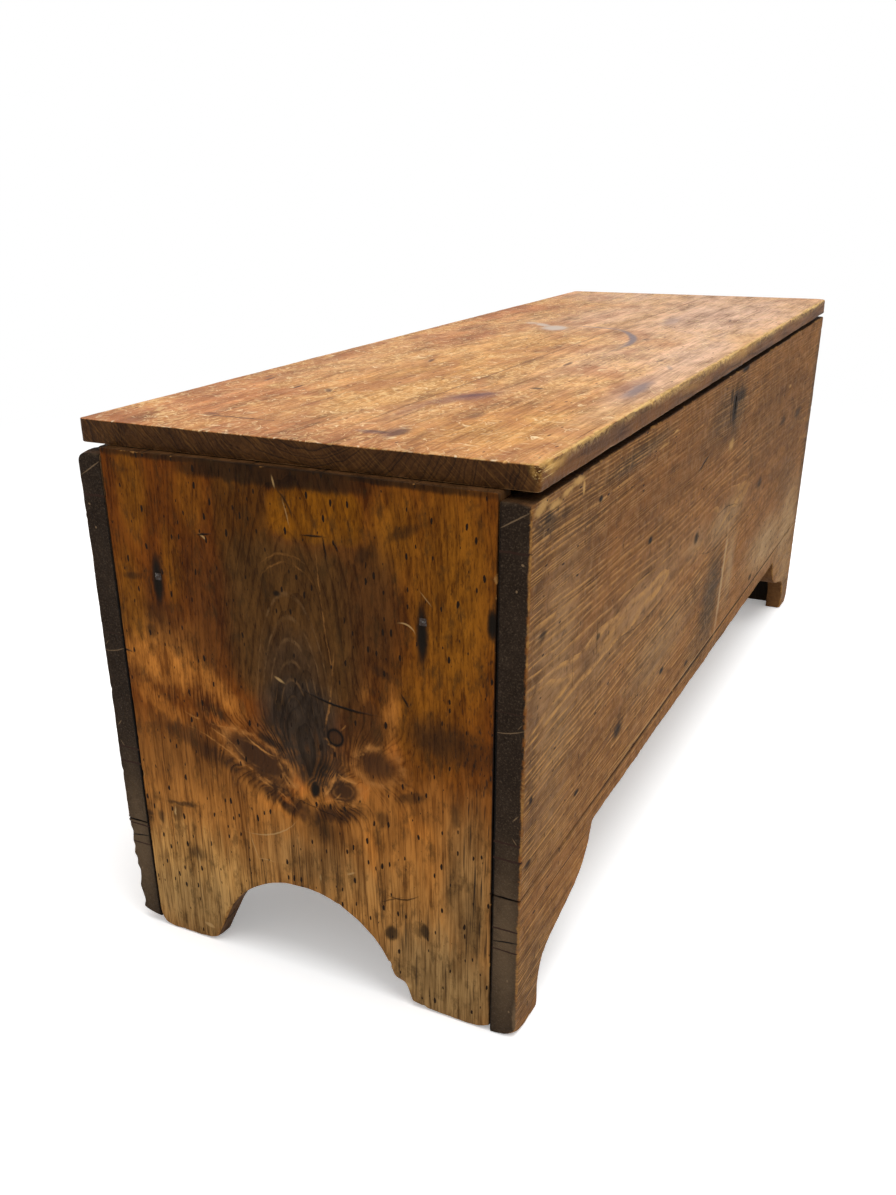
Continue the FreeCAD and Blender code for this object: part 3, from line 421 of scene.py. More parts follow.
# %% The worn board
def worn_board(name, facing, body, seed, arris, worn=(), cutters=()):
    """Loft a worn board in the place of a node's square one.

    With P a point of the outline and Q the ring where the face turns flat, a ring of the profile
    lies at P + (Q - P) inset / FLAT_FROM. The arris radius is the board's own at that place, times
    one plus a random row, plus nicks where another random row peaks. Last, each worn spot pushes
    the points that stand beyond a plane back to it: with q the distance beyond the plane, a point
    moves back by s log(1 + exp(q / s)), faded out over the spot's reach.
    """
    across, up, deep, inwards = FACINGS[facing]
    low, high = (np.array(corner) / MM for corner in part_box(name))
    face = low[deep] if inwards > 0 else high[deep]
    rng = np.random.default_rng(seed)
    outline = softened(face_outlines(name, facing)[0], STEP, 1.3)
    outline = inner_ring(outline, SKIN)
    flat_ring = inner_ring(outline, FLAT_FROM)
    length, count = run_along(outline)[-1], len(outline)
    radii = []
    for base in arris(*outline.T):
        nick = NICK_DEEP * np.clip(wander(rng, length, count, NICK_LONG) - NICK_PEAK, 0.0, NICK_MOST)
        rough = 1.0
        for share, reach in ROUGHNESS:
            rough = rough + share * wander(rng, length, count, reach)
        radii.append(np.clip(base * rough + nick * np.minimum(base / 2.0, 1.0), 0.3, 6.0))
    rings = profile_rings(*radii, high[deep] - low[deep] - 2 * SKIN)
    points = np.empty((len(rings), count, 3))
    colours = np.zeros((len(rings), count, 4))
    for row, (inset, depth, wear, edge) in enumerate(rings):
        hack = HACK_DEEP * wander(rng, length, count, HACK_LONG) * edge
        share = ((inset + np.abs(hack)) / FLAT_FROM)[:, None]
        points[row][:, [across, up]] = outline + (flat_ring - outline) * share
        points[row][:, deep] = face + inwards * (SKIN + depth)
        for channel, amount in enumerate((wear, edge, row > len(rings) / 2)):
            colours[row][:, channel] = amount
    points, colours = points.reshape(-1, 3), colours.reshape(-1, 4)
    for corner, direction, cut, soft, reach in worn:
        direction = np.array(direction) / np.linalg.norm(direction)
        offset = points - np.array(corner)
        beyond = offset @ direction + cut
        nearby = np.exp(-(np.linalg.norm(offset, axis=1) / reach) ** 4)
        back = soft * np.logaddexp(0.0, beyond / soft) * nearby
        points -= back[:, None] * direction
        colours[:, 0] = np.maximum(colours[:, 0], np.clip(back / 3.0, 0.0, 1.0))
    colours[:count, 0] = colours[-count:, 0] = 0.0
    ring, rows = np.arange(count), np.arange(len(rings) - 1)[:, None] * count
    after = np.roll(ring, -1)
    quads = np.stack([rows + ring, rows + after, rows + count + after, rows + count + ring], axis=2)
    caps = [ring.tolist(), (ring + (len(rings) - 1) * count).tolist()]
    mesh = mesh_of(name, points, quads.reshape(-1, 4).tolist() + caps, colours)
    board = bpy.data.objects.new("worn_" + name, mesh)
    bpy.context.collection.objects.link(board)
    if cutters:
        hollowed(board, cutters)
        unworn_cuts(board, deep, face, (high[deep] - low[deep]) / 2)
    board.data.set_sharp_from_angle(angle=math.radians(55))
    corners = np.empty(len(board.data.polygons), dtype=np.int32)
    board.data.polygons.foreach_get("loop_total", corners)
    board.data.polygons.foreach_set("use_smooth", corners < FLAT_CORNERS)
    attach(board, body)
    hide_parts(name)
    print(board.name, len(board.data.polygons), "faces, arris", np.round(radii[0].min(), 1), "to",
          np.round(radii[0].max(), 1), "mm")
    return board

# %% The front and the back, each of two boards
def arris_of(base, sides, hidden):
    """Arris radii round a board: a base, changed near one level or upright at a time.

    A side is (axis 0 across or 1 up, level in mm, radius).
    """
    def radii(across, up):
        show = np.full_like(across, base)
        for axis, level, radius in sides:
            show = np.where(np.abs((across, up)[axis] - level) < 3.0, radius, show)
        return show, np.minimum(show, hidden)
    return radii


def box_mm(node, low_margin=(0, 0, 0), high_margin=(0, 0, 0)):
    """A node's lowest and highest corners in mm, each moved by a margin."""
    low, high = (np.array(corner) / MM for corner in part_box(node))
    return low + np.array(low_margin), high + np.array(high_margin)


def rectangle(low_across, high_across, low_up, high_up):
    return np.array([[low_across, low_up], [high_across, low_up], [high_across, high_up],
                     [low_across, high_up]])


LOW, HIGH = box_mm("front_board")
LEFT, RIGHT, FRONT, SEAM, BOARD_TOP = LOW[0], HIGH[0], LOW[1], LOW[2], HIGH[2]
(_, _, BACK_SEAM), (_, BACK, _) = box_mm("back_board")
LENGTH, DEPTH = RIGHT - LEFT, round(BACK - FRONT, 1)
cap_low, cap_high = box_mm("lock_cap", (-0.5, -0.5, -0.5), (0.5, 0.5, 1.0))
lock_cuts = [prism(face_outlines("front_board", "front")[1], "front", FRONT - 1, HIGH[1] + 1),
             prism(rectangle(cap_low[0], cap_high[0], cap_low[2], cap_high[2]), "front", cap_low[1],
                   HIGH[1] + 1)]


def barrel_cuts(reach_down, reach_up):
    """Boxes round the hinges' barrels, with half a millimetre to turn in."""
    cuts = []
    for side in ("left", "right"):
        low, high = box_mm(f"hinge_{side}_pin", (-0.6, -2.5, -2.5), (0.6, 2.5, 2.5))
        cuts.append(prism(rectangle(low[0], high[0], low[1], BACK + 6), "top", low[2] - reach_down,
                          high[2] + reach_up))
    return cuts


front_board = worn_board("front_board", "front", "chest", 3,
                         arris_of(2.0, [(1, SEAM, 0.9), (1, BOARD_TOP, 1.3)], 0.8),
                         [((LEFT, FRONT, BOARD_TOP), (-0.6, -0.35, 0.75), 3.4, 1.2, 70.0),
                          ((RIGHT, FRONT, BOARD_TOP), (0.6, -0.35, 0.6), 2.0, 1.0, 40.0)], lock_cuts)
front_skirt = worn_board("front_skirt", "front", "chest", 5,
                         arris_of(2.2, [(1, SEAM, 0.9), (1, 0.0, 3.2)], 1.0),
                         [((LEFT, FRONT, 0), (-0.5, -0.6, -0.6), 6.5, 2.5, 45.0),
                          ((RIGHT, FRONT, 0), (0.6, -0.4, -0.6), 5.0, 2.0, 40.0)])
back_board = worn_board("back_board", "back", "chest", 7,
                        arris_of(1.6, [(1, BACK_SEAM, 0.5), (1, BOARD_TOP, 2.6)], 0.8),
                        [((LEFT, BACK, BOARD_TOP), (-0.25, 0.7, 0.7), 3.6, 1.6, 60.0),
                         ((RIGHT, BACK, BOARD_TOP), (0.3, 0.7, 0.6), 2.4, 1.2, 40.0)],
                        barrel_cuts(0.0, 9.0))
back_skirt = worn_board("back_skirt", "back", "chest", 11,
                        arris_of(2.2, [(1, BACK_SEAM, 0.5), (1, 0.0, 3.2)], 1.0),
                        [((LEFT, BACK - 12, 0), (-0.15, 0.1, -1.0), 9.0, 1.5, 60.0),
                         ((LEFT, BACK, 0), (-0.1, 0.72, -0.66), 10.0, 4.0, 60.0),
                         ((LEFT, BACK, 50), (-0.3, 1.0, 0.1), 5.0, 0.6, 12.0),
                         ((LEFT, BACK, 66), (-0.2, 1.0, 0.2), 3.6, 0.5, 7.0),
                         ((LEFT, BACK, 27), (-0.2, 1.0, -0.2), 5.5, 0.6, 12.0),
                         ((LEFT, BACK, 96), (-0.2, 1.0, 0.2), 2.6, 0.5, 8.0),
                         ((RIGHT, BACK, 0), (0.4, 0.6, -0.6), 6.0, 2.5, 45.0)])

# %% The two ends and the bottom
END_LOW, END_HIGH = box_mm("left_end_board")
arch_left = face_outlines("left_end_board", "left")[0]
on_floor = arch_left[arch_left[:, 1] < 0.1][:, 0]
ARCH_FEET = on_floor[(on_floor > END_LOW[1] + 5) & (on_floor < END_HIGH[1] - 5)]
print("arch feet at", ARCH_FEET)
end_arris = arris_of(1.8,
                     [(0, END_LOW[1], 0.9), (0, END_HIGH[1], 0.9), (1, END_HIGH[2], 1.0), (1, 0.0, 3.0)],
                     1.0)
left_end = worn_board("left_end_board", "left", "chest", 13, end_arris,
                      [((LEFT + 10, END_HIGH[1], 0), (0, 0.8, -0.6), 6.5, 3.0, 55.0),
                       ((LEFT, ARCH_FEET.min() - 6, 0), (-0.1, 0.15, -1.0), 5.5, 0.8, 15.0),
                       ((LEFT, END_LOW[1] + 4, 0), (-0.4, -0.5, -1.0), 4.0, 0.8, 18.0),
                       ((LEFT, ARCH_FEET.min() + 2, 14), (-0.8, 1.0, -0.4), 3.5, 0.6, 13.0),
                       ((LEFT, ARCH_FEET.max() + 4, 0), (-0.3, -0.4, -1.0), 2.5, 1.0, 15.0)])
right_end = worn_board("right_end_board", "right", "chest", 17, end_arris,
                       [((RIGHT, ARCH_FEET.max(), 0), (0.4, -0.4, -1.0), 3.0, 1.2, 20.0)])
bottom = worn_board("bottom_board", "top", "chest", 19, arris_of(0.6, [], 0.6))

# %% The lid
LID_LOW, LID_HIGH = box_mm("lid_board")
lid = worn_board("lid_board", "top", "lid", 23, arris_of(1.0, [(1, LID_LOW[1], 2.4)], 1.2),
                 [((LID_LOW[0], LID_LOW[1], LID_HIGH[2]), (-0.5, -0.6, 0.6), 1.6, 0.8, 25.0),
                  ((LID_HIGH[0], LID_LOW[1], LID_HIGH[2] - 8), (0.75, -0.6, 0.15), 6.5, 1.5, 34.0)],
                 barrel_cuts(3.0, 0.0))

# %% [markdown]
# ## Old pine
#
# Pine is soft: each year lays down a wide pale ring that wears away and a thin dark one that
# stands up. A board is a flat cut through those nested cones, so the lines on its face are
# straight where the cut is square to them and nested arches where it grazes them. Painting lines
# on each face would leave faces and ends that disagree. The rings here are a solid pattern
# instead: every point of the board takes its year from its distance to the pith, the middle of
# the tree, and the figure comes out right on every side by itself.

# %% The growth rings as a node group
def node_group(name, inputs, outputs):
    """An empty node group with its sockets, and its input and output nodes."""
    group = bpy.data.node_groups.new(name, "ShaderNodeTree")
    for way, sockets in (("INPUT", inputs), ("OUTPUT", outputs)):
        for label, kind in sockets.items():
            group.interface.new_socket(name=label, in_out=way, socket_type="NodeSocket" + kind)
    return group, group.nodes.new("NodeGroupInput"), group.nodes.new("NodeGroupOutput")


def growth_rings():
    """Late: how much a point is dark summer wood. Fibre, Tone: fine and broad streaks along the grain.
    Strokes: patches with a clear edge, as where a finish has lifted. Hairs: thin open pores.

    The tree's own place is across, deep and along the pith, in mm. The ring radius is the distance
    from the pith, bent by noise that is drawn out along the grain, plus the lump that a knot makes.
    Radius over spacing counts the years, and the part after the point says how late in the year.
    """
    group, given, result = node_group("growth rings", {"Tree": "Vector", "Lump": "Float",
                                                       "Spacing": "Float", "Wobble": "Float"},
                                      {"Late": "Float", "Fibre": "Float", "Tone": "Float",
                                       "Strokes": "Float", "Hairs": "Float"})
    slow = add(group, "VectorMath.MULTIPLY", given.outputs["Tree"], (1 / 60, 1 / 60, 1 / 300))
    bend = add(group, "TexNoise", {"Vector": slow, "Scale": 1.0, "Detail": 3.0, "Roughness": 0.55})
    centred = add(group, "VectorMath.SUBTRACT", bend.outputs["Color"], (0.5, 0.5, 0.5))
    bent = add(group, "VectorMath.SCALE", {0: centred, "Scale": given.outputs["Wobble"]})
    moved = add(group, "VectorMath.ADD", given.outputs["Tree"], bent)
    level = add(group, "VectorMath.MULTIPLY", moved, (1, 1, 0))
    radius = add(group, "VectorMath.LENGTH", level)
    raised = add(group, "Math.ADD", radius, given.outputs["Lump"])
    years = add(group, "Math.DIVIDE", raised, given.outputs["Spacing"])
    seasons = add(group, "TexNoise", {"W": years, "Scale": 0.35, "Detail": 1.0}, noise_dimensions="1D")
    uneven = add(group, "Math.MULTIPLY_ADD", seasons, 2.4, years)
    part = add(group, "Math.FRACT", uneven)
    season = add(group, "ValToRGB", {"Fac": part})
    ramp = season.color_ramp
    for place, grey in ((0.0, 0.25), (0.08, 0.0), (0.40, 0.06), (0.72, 0.5), (0.90, 1.0), (1.0, 0.3)):
        element = ramp.elements.new(place) if 0.0 < place < 1.0 else ramp.elements[int(place)]
        element.color = (grey, grey, grey, 1.0)
    count = add(group, "Math.FLOOR", uneven)
    lot = add(group, "TexWhiteNoise", {"W": count}, noise_dimensions="1D")
    depth = add(group, "Math.MULTIPLY_ADD", lot.outputs["Value"], 0.65, 0.35)
    late = add(group, "Math.MULTIPLY", season, depth)
    fine = add(group, "VectorMath.MULTIPLY", given.outputs["Tree"], (1 / 3.0, 1 / 3.0, 1 / 65))
    fibre = add(group, "TexNoise", {"Vector": fine, "Scale": 1.0, "Detail": 4.0, "Roughness": 0.7})
    broad = add(group, "VectorMath.MULTIPLY", given.outputs["Tree"], (1 / 20, 1 / 20, 1 / 150))
    tone = add(group, "TexNoise", {"Vector": broad, "Scale": 1.0, "Detail": 3.0, "Roughness": 0.6})
    drawn = add(group, "VectorMath.MULTIPLY", given.outputs["Tree"], (1 / 9, 1 / 9, 1 / 44))
    patchy = add(group, "TexNoise",
                 {"Vector": drawn, "Scale": 1.0, "Detail": 5.0, "Roughness": 0.62, "Distortion": 0.4})
    strokes = add(group, "MapRange", patchy, 0.42, 0.58)
    thin = add(group, "VectorMath.MULTIPLY", given.outputs["Tree"], (1 / 1.3, 1 / 1.3, 1 / 46))
    pores = add(group, "TexNoise", {"Vector": thin, "Scale": 1.0, "Detail": 1.5, "Roughness": 0.5})
    hairs = add(group, "MapRange", pores, 0.58, 0.70)
    for label, source in (("Late", late), ("Fibre", fibre), ("Tone", tone), ("Strokes", strokes),
                          ("Hairs", hairs)):
        group.links.new(source.outputs[0], result.inputs[label])
    return group


RINGS = growth_rings()
print("growth rings:", len(RINGS.nodes), "nodes")

# %% One mark, in each of its forms, as node groups
def mark(form):
    """Strength of one mark: an ellipse of half sizes in mm, turned and ragged, in one of four forms.

    With (u, v) the place in the mark's own turned axes over its half sizes, and r the length of
    (u, v), the strength is one half to the power of r to the power of the sharpness: full in the
    middle and half at the ellipse. A bent mark first adds the bend times 1 - u squared to v. A boxy
    one takes the length of (u squared, v squared), whose root is square-shouldered. A hollow one
    takes the distance of r from one, times the sharpness, squared, which leaves a rim. The group
    uses vector math alone, because a shader has little room for what many Map Range nodes keep.
    """
    group, given, result = node_group(form + " mark", {
        "Place": "Vector", "Warp": "Vector", "Centre": "Vector", "Half": "Vector", "Turn": "Float",
        "Sharp": "Float", "Ragged": "Float", "Bend": "Float", "Strength": "Float"}, {"Strength": "Float"})
    rag = add(group, "VectorMath.SCALE", {0: given.outputs["Warp"], "Scale": given.outputs["Ragged"]})
    moved = add(group, "VectorMath.ADD", given.outputs["Place"], rag)
    offset = add(group, "VectorMath.SUBTRACT", moved, given.outputs["Centre"])
    own = add(group, "VectorRotate", {"Vector": offset, "Angle": given.outputs["Turn"]},
              rotation_type="Z_AXIS")
    share = add(group, "VectorMath.DIVIDE", own, given.outputs["Half"])
    if form == "bent":
        u = add(group, "VectorMath.DOT_PRODUCT", share, (1, 0, 0))
        square = add(group, "Math.MULTIPLY", u, u)
        fall = add(group, "Math.SUBTRACT", 1.0, square)
        lift = add(group, "Math.MULTIPLY", fall, given.outputs["Bend"])
        upwards = add(group, "VectorMath.SCALE", {0: (0, 1, 0), "Scale": lift})
        share = add(group, "VectorMath.ADD", share, upwards)
    if form == "boxy":
        share = add(group, "VectorMath.MULTIPLY", share, share)
    reach = add(group, "VectorMath.LENGTH", share)
    if form == "hollow":
        off = add(group, "Math.SUBTRACT", reach, 1.0)
        widened = add(group, "Math.MULTIPLY", off, given.outputs["Sharp"])
        power = add(group, "Math.MULTIPLY", widened, widened)
    else:
        power = add(group, "Math.POWER", reach, given.outputs["Sharp"])
    fade = add(group, "Math.POWER", 0.5, power)
    strength = add(group, "Math.MULTIPLY", fade, given.outputs["Strength"])
    group.links.new(strength.outputs[0], result.inputs[0])
    return group


MARKS = {form: mark(form) for form in ("soft", "bent", "boxy", "hollow")}
print("marks:", {form: len(group.nodes) for form, group in MARKS.items()}, "nodes")

# %% Where a point lies on its board
def board_place(tree, facing, origin):
    """The place in mm as across, up and deep, from a corner of the board's show face."""
    across, up, deep, inwards = FACINGS[facing]
    where = add(tree, "TexCoord")
    metres = add(tree, "VectorMath.SCALE", {0: where.outputs["Object"], "Scale": 1 / MM})
    moved = add(tree, "VectorMath.SUBTRACT", metres, origin)
    axes = add(tree, "SeparateXYZ", moved)
    inward = add(tree, "Math.MULTIPLY", axes.outputs[deep], float(inwards))
    return add(tree, "CombineXYZ", axes.outputs[across], axes.outputs[up], inward)


def ragged(tree, place, size, reach):
    """Noise of about -1 to 1 times the reach in each direction, its features as large as the size."""
    cells = add(tree, "VectorMath.DIVIDE", place, size)
    noise = add(tree, "TexNoise", {"Vector": cells, "Scale": 1.0, "Detail": 4.0, "Roughness": 0.65})
    centred = add(tree, "VectorMath.SUBTRACT", noise.outputs["Color"], (0.5, 0.5, 0.5))
    return add(tree, "VectorMath.MULTIPLY", centred, reach)


# How sharp the rim of each form is at a softness of one.
SHARPNESS = {"soft": 2.1, "boxy": 1.05, "hollow": 1.0}


def marks(tree, place, warp, rows, form="soft", depth=6.0):
    """The strongest of several marks on the show face, down to a depth in mm.

    A row holds across, up, half across, half up, turn in degrees, softness, raggedness in mm,
    strength, and how far the middle is bent upwards in mm, where it is.
    """
    strongest = None
    for across, up, half_across, half_up, turn, soft, rag, strength, *bend in rows:
        bow = bend[0] if bend else 0.0
        one = add(tree, "Group", {
            "Place": place, "Warp": warp, "Centre": (across, up, 0.0),
            "Half": (half_across, half_up, depth),
            "Turn": math.radians(-turn), "Sharp": SHARPNESS[form] / soft, "Ragged": rag,
            "Strength": strength, "Bend": -bow / half_up}, node_tree=MARKS["bent" if bow else form])
        strongest = one if strongest is None else add(tree, "Math.MAXIMUM", strongest, one)
    return strongest


def line(start, end, width, ragged=0.5, strength=1.0, bend=0.0):
    """The row of a mark that is a thin line or a long streak from one point to another."""
    (left, low), (right, high) = start, end
    return ((left + right) / 2, (low + high) / 2, math.hypot(right - left, high - low) / 2, width / 2,
            math.degrees(math.atan2(high - low, right - left)), 0.5, ragged, strength, bend)


def layered(tree, base, layers):
    """Colours laid over a base in order: each is a colour or a node, and a mask."""
    for colour, mask in layers:
        over = srgb(colour) if isinstance(colour, str) else colour
        base = add(tree, "Mix", {"Factor": mask, "A": base, "B": over}, data_type="RGBA").outputs[2]
    return base


def dashes(tree, place, cell, size):
    """Short pits along the grain: in each cell of a stretched Voronoi pattern, a spot of random size.

    A spot is where the distance to the cell's point is under the size times the cube of the
    cell's random number, so that most are small and a few are long.
    """
    cells = add(tree, "VectorMath.DIVIDE", place, (*cell, 1.0))
    spots = add(tree, "TexVoronoi", {"Vector": cells, "Scale": 1.0}, voronoi_dimensions="2D")
    lot = add(tree, "VectorMath.DOT_PRODUCT", spots.outputs["Color"], (1, 0, 0))
    cubed = add(tree, "Math.POWER", lot, 3.0)
    gap = add(tree, "Math.MULTIPLY_ADD", cubed, size, add(tree, "Math.MULTIPLY", spots, -1.0))
    return add(tree, "Math.MULTIPLY", gap, 30.0, use_clamp=True)


print("a level line of 20 mm is the row", line((0, 0), (20, 0), 1.0))

# %% [markdown]
# ## One old board
#
# All the boards share one way of ageing, so one function builds their material, and each board
# brings its own lists. First come tints: broad differences in how the shellac and dirt have
# taken. The grain is laid over them as one factor for every colour, dark and warm in the summer
# lines and pale between them, so that no stain hides the wood. Then come spots and cracks, which do
# hide it, then the bare wood of the arrises, which were rubbed last of all. Some of these marks are
# not the wood's own colour but painted shadow, highlight, sheen and bounce light.

# %% The pine of one board, from its rings to its finish
def pine_figure(tree, place, grain_up, pith, slope, start, spacing, wobble, lump):
    """The ring group, fed with the place seen from the pith.

    The pith lies at a place across the board and a depth under its face, and beyond the start it
    goes deeper by the slope for each mm along the grain, which makes the rings' arches.
    """
    axes = add(tree, "SeparateXYZ", place)
    along, across = (axes.outputs[1], axes.outputs[0]) if grain_up else (axes.outputs[0], axes.outputs[1])
    past = add(tree, "Math.SUBTRACT", along, start)
    beyond = add(tree, "Math.SMOOTH_MAX", past, 0.0, 40.0)
    retreat = add(tree, "Math.MULTIPLY_ADD", beyond, slope, pith[1])
    deep = add(tree, "Math.ADD", axes.outputs[2], retreat)
    side = add(tree, "Math.SUBTRACT", across, pith[0])
    here = add(tree, "CombineXYZ", side, deep, along)
    return add(tree, "Group", {"Tree": here, "Lump": lump, "Spacing": spacing, "Wobble": wobble},
               node_tree=RINGS)


# What the palest and the darkest grain do to a colour, and the size of a cloud, along and across.
PALE_GRAIN, DARK_GRAIN = (1.40, 1.38, 1.34, 1.0), (0.42, 0.35, 0.28, 1.0)
CLOUD_ALONG, CLOUD_ACROSS = 60.0, 26.0
# Size and reach in mm of the noise that frays the tints, along and across the grain, and the marks.
FRAY_ALONG, FRAY_ACROSS, FRAY_MARK = (48.0, 6.5), (7.0, 1.6), (11.0, 2.6)
# Under the bottom the hidden side is darkened: painted shade inside the case, below the bottom board.
SHADE_UNDER_BOTTOM = [(610, 60, 900, 84, 0, 0.2, 2, 1.0)]


def old_pine(name, facing, corner, grain_up, rings, shares, tint, tints, spots, cracks, pits, bare,
             edge_tint, sawn, span, relief, inside="#a9835a", knots=(), extra=None, gloss=0.16,
             rough=(0.5, 0.7)):
    """The whole material of one board.

    Tints and spots are lists of a colour, its rows of marks and, where it isn't soft, their form.
    Rings are the pith, its slope and start, the spacing and the wobble. Shares say how much rings,
    fibres, tone, clouds, strokes and hairs count in the grain. Pits are the cell and size of the
    dashes and their colour. Sawn is the end grain's colour, at the span's two ends. An extra
    function may add its own layers to the colour and the height. It gets three masks by name: the
    sawn ends, the edge, and all that is off the show face.
    """
    material = new_material(name)
    tree = material.node_tree
    place = board_place(tree, facing, corner)
    lengthwise = [axis == (1 if grain_up else 0) for axis in range(3)]
    streaky = ragged(tree, place, *zip(*(FRAY_ALONG if run else FRAY_ACROSS for run in lengthwise)))
    uneven = ragged(tree, place, *([amount] * 3 for amount in FRAY_MARK))
    lump = marks(tree, place, uneven, knots) if knots else 0.0
    figure = pine_figure(tree, place, grain_up, *rings, lump)
    late, fibre, tone, strokes, hairs = figure.outputs[:]
    cells = add(tree, "VectorMath.DIVIDE", place,
                [CLOUD_ALONG if run else CLOUD_ACROSS for run in lengthwise])
    cloud = add(tree, "TexNoise", {"Vector": cells, "Scale": 1.0, "Detail": 4.0, "Roughness": 0.6})
    age = add(tree, "Attribute", attribute_name="age")
    wear, edge, hidden = add(tree, "SeparateColor", {"Color": age.outputs["Color"]}).outputs[:]

    # Tints, on the face, on the hidden side, painted shade under the bottom, on the edge and on the sawn
    # ends.
    under = 0.0 if facing == "top" else marks(tree, place, uneven, SHADE_UNDER_BOTTOM, "boxy", depth=400.0)
    on_edge = add(tree, "MapRange", edge, 0.5, 0.9)
    along = add(tree, "VectorMath.DOT_PRODUCT", place, (0, 1, 0) if grain_up else (1, 0, 0))
    from_middle = add(tree, "Math.ABSOLUTE", add(tree, "Math.SUBTRACT", along, sum(span) / 2))
    half = (span[1] - span[0]) / 2
    at_end = add(tree, "MapRange", from_middle, half - 4.0, half - 1.0)
    end_grain = add(tree, "Math.MULTIPLY", at_end, on_edge)
    layers = [(hex_code, marks(tree, place, streaky, rows, *form)) for hex_code, rows, *form in tints]
    # Below the bottom board the hidden side takes a near-black painted shade.
    layers += [(inside, hidden), ("#140d08", add(tree, "Math.MULTIPLY", under, hidden)),
               (edge_tint, on_edge), (sawn, end_grain)]
    colour = layered(tree, srgb(tint), layers)

    # The grain over them.
    pattern = 0.46 - 0.5 * sum(shares[1:5]) - 0.25 * shares[0] - 0.1 * shares[5]
    for source, share in zip((late, fibre, tone, cloud, strokes, hairs), shares):
        pattern = add(tree, "Math.MULTIPLY_ADD", source, share, pattern)
    clamped = add(tree, "Math.ADD", pattern, 0.0, use_clamp=True)
    grain = add(tree, "Mix", {"Factor": clamped, "A": PALE_GRAIN, "B": DARK_GRAIN}, data_type="RGBA")
    colour = add(tree, "VectorMath.MULTIPLY", colour, grain.outputs[2])

    # What this board has of its own, then spots, pits and cracks.
    height = add(tree, "Math.MULTIPLY_ADD", late, relief, add(tree, "Math.MULTIPLY", fibre, relief))
    if extra:
        off_face = add(tree, "Math.MAXIMUM", on_edge, hidden)
        colour, height = extra(tree, place, uneven, figure, colour, height,
                               at_end=at_end, on_edge=on_edge, off_face=off_face)
    cell, pit_size, pit_colour = pits
    jolted = add(tree, "VectorMath.ADD", place, uneven)
    layers = [(hex_code, marks(tree, place, uneven, rows, *form)) for hex_code, rows, *form in spots]
    layers.append((pit_colour, dashes(tree, jolted, cell, pit_size)))
    colour = layered(tree, colour, layers)
    if cracks:
        split = marks(tree, place, uneven, cracks)
        colour = layered(tree, colour, [("#0e0905", split)])
        height = add(tree, "Math.MULTIPLY_ADD", split, -0.8, height)

    # Bare wood where the arris is worn, less at the sawn ends, which stay dark.
    rag = add(tree, "VectorMath.DOT_PRODUCT", uneven, (0.42, 0.42, 0.42))
    worn = add(tree, "Math.ADD", wear, rag)
    shown = add(tree, "Math.MULTIPLY_ADD", hidden, -1.0,
                add(tree, "Math.MULTIPLY_ADD", end_grain, -0.35, worn))
    bared = add(tree, "MapRange", shown, 0.80, 1.02, 0.0, 0.9)
    streak = add(tree, "MapRange", fibre, 0.40, 0.62, 0.0, 0.75)
    rubbed_wood = add(tree, "Mix", {"Factor": streak, "A": srgb(bare), "B": srgb(edge_tint)},
                      data_type="RGBA")
    colour = layered(tree, colour, [(rubbed_wood.outputs[2], bared)])
    dull = add(tree, "MapRange", fibre, 0.3, 0.7, *rough)
    bump = add(tree, "Bump", {"Height": height, "Distance": MM, "Strength": 1.0})
    skin = add(tree, "BsdfPrincipled", {"Base Color": colour, "Roughness": dull, "Normal": bump,
                                        "IOR": 1.5, "Specular IOR Level": gloss})
    add(tree, "OutputMaterial", {"Surface": skin})
    print(name, "has", len(tree.nodes), "nodes")
    return material
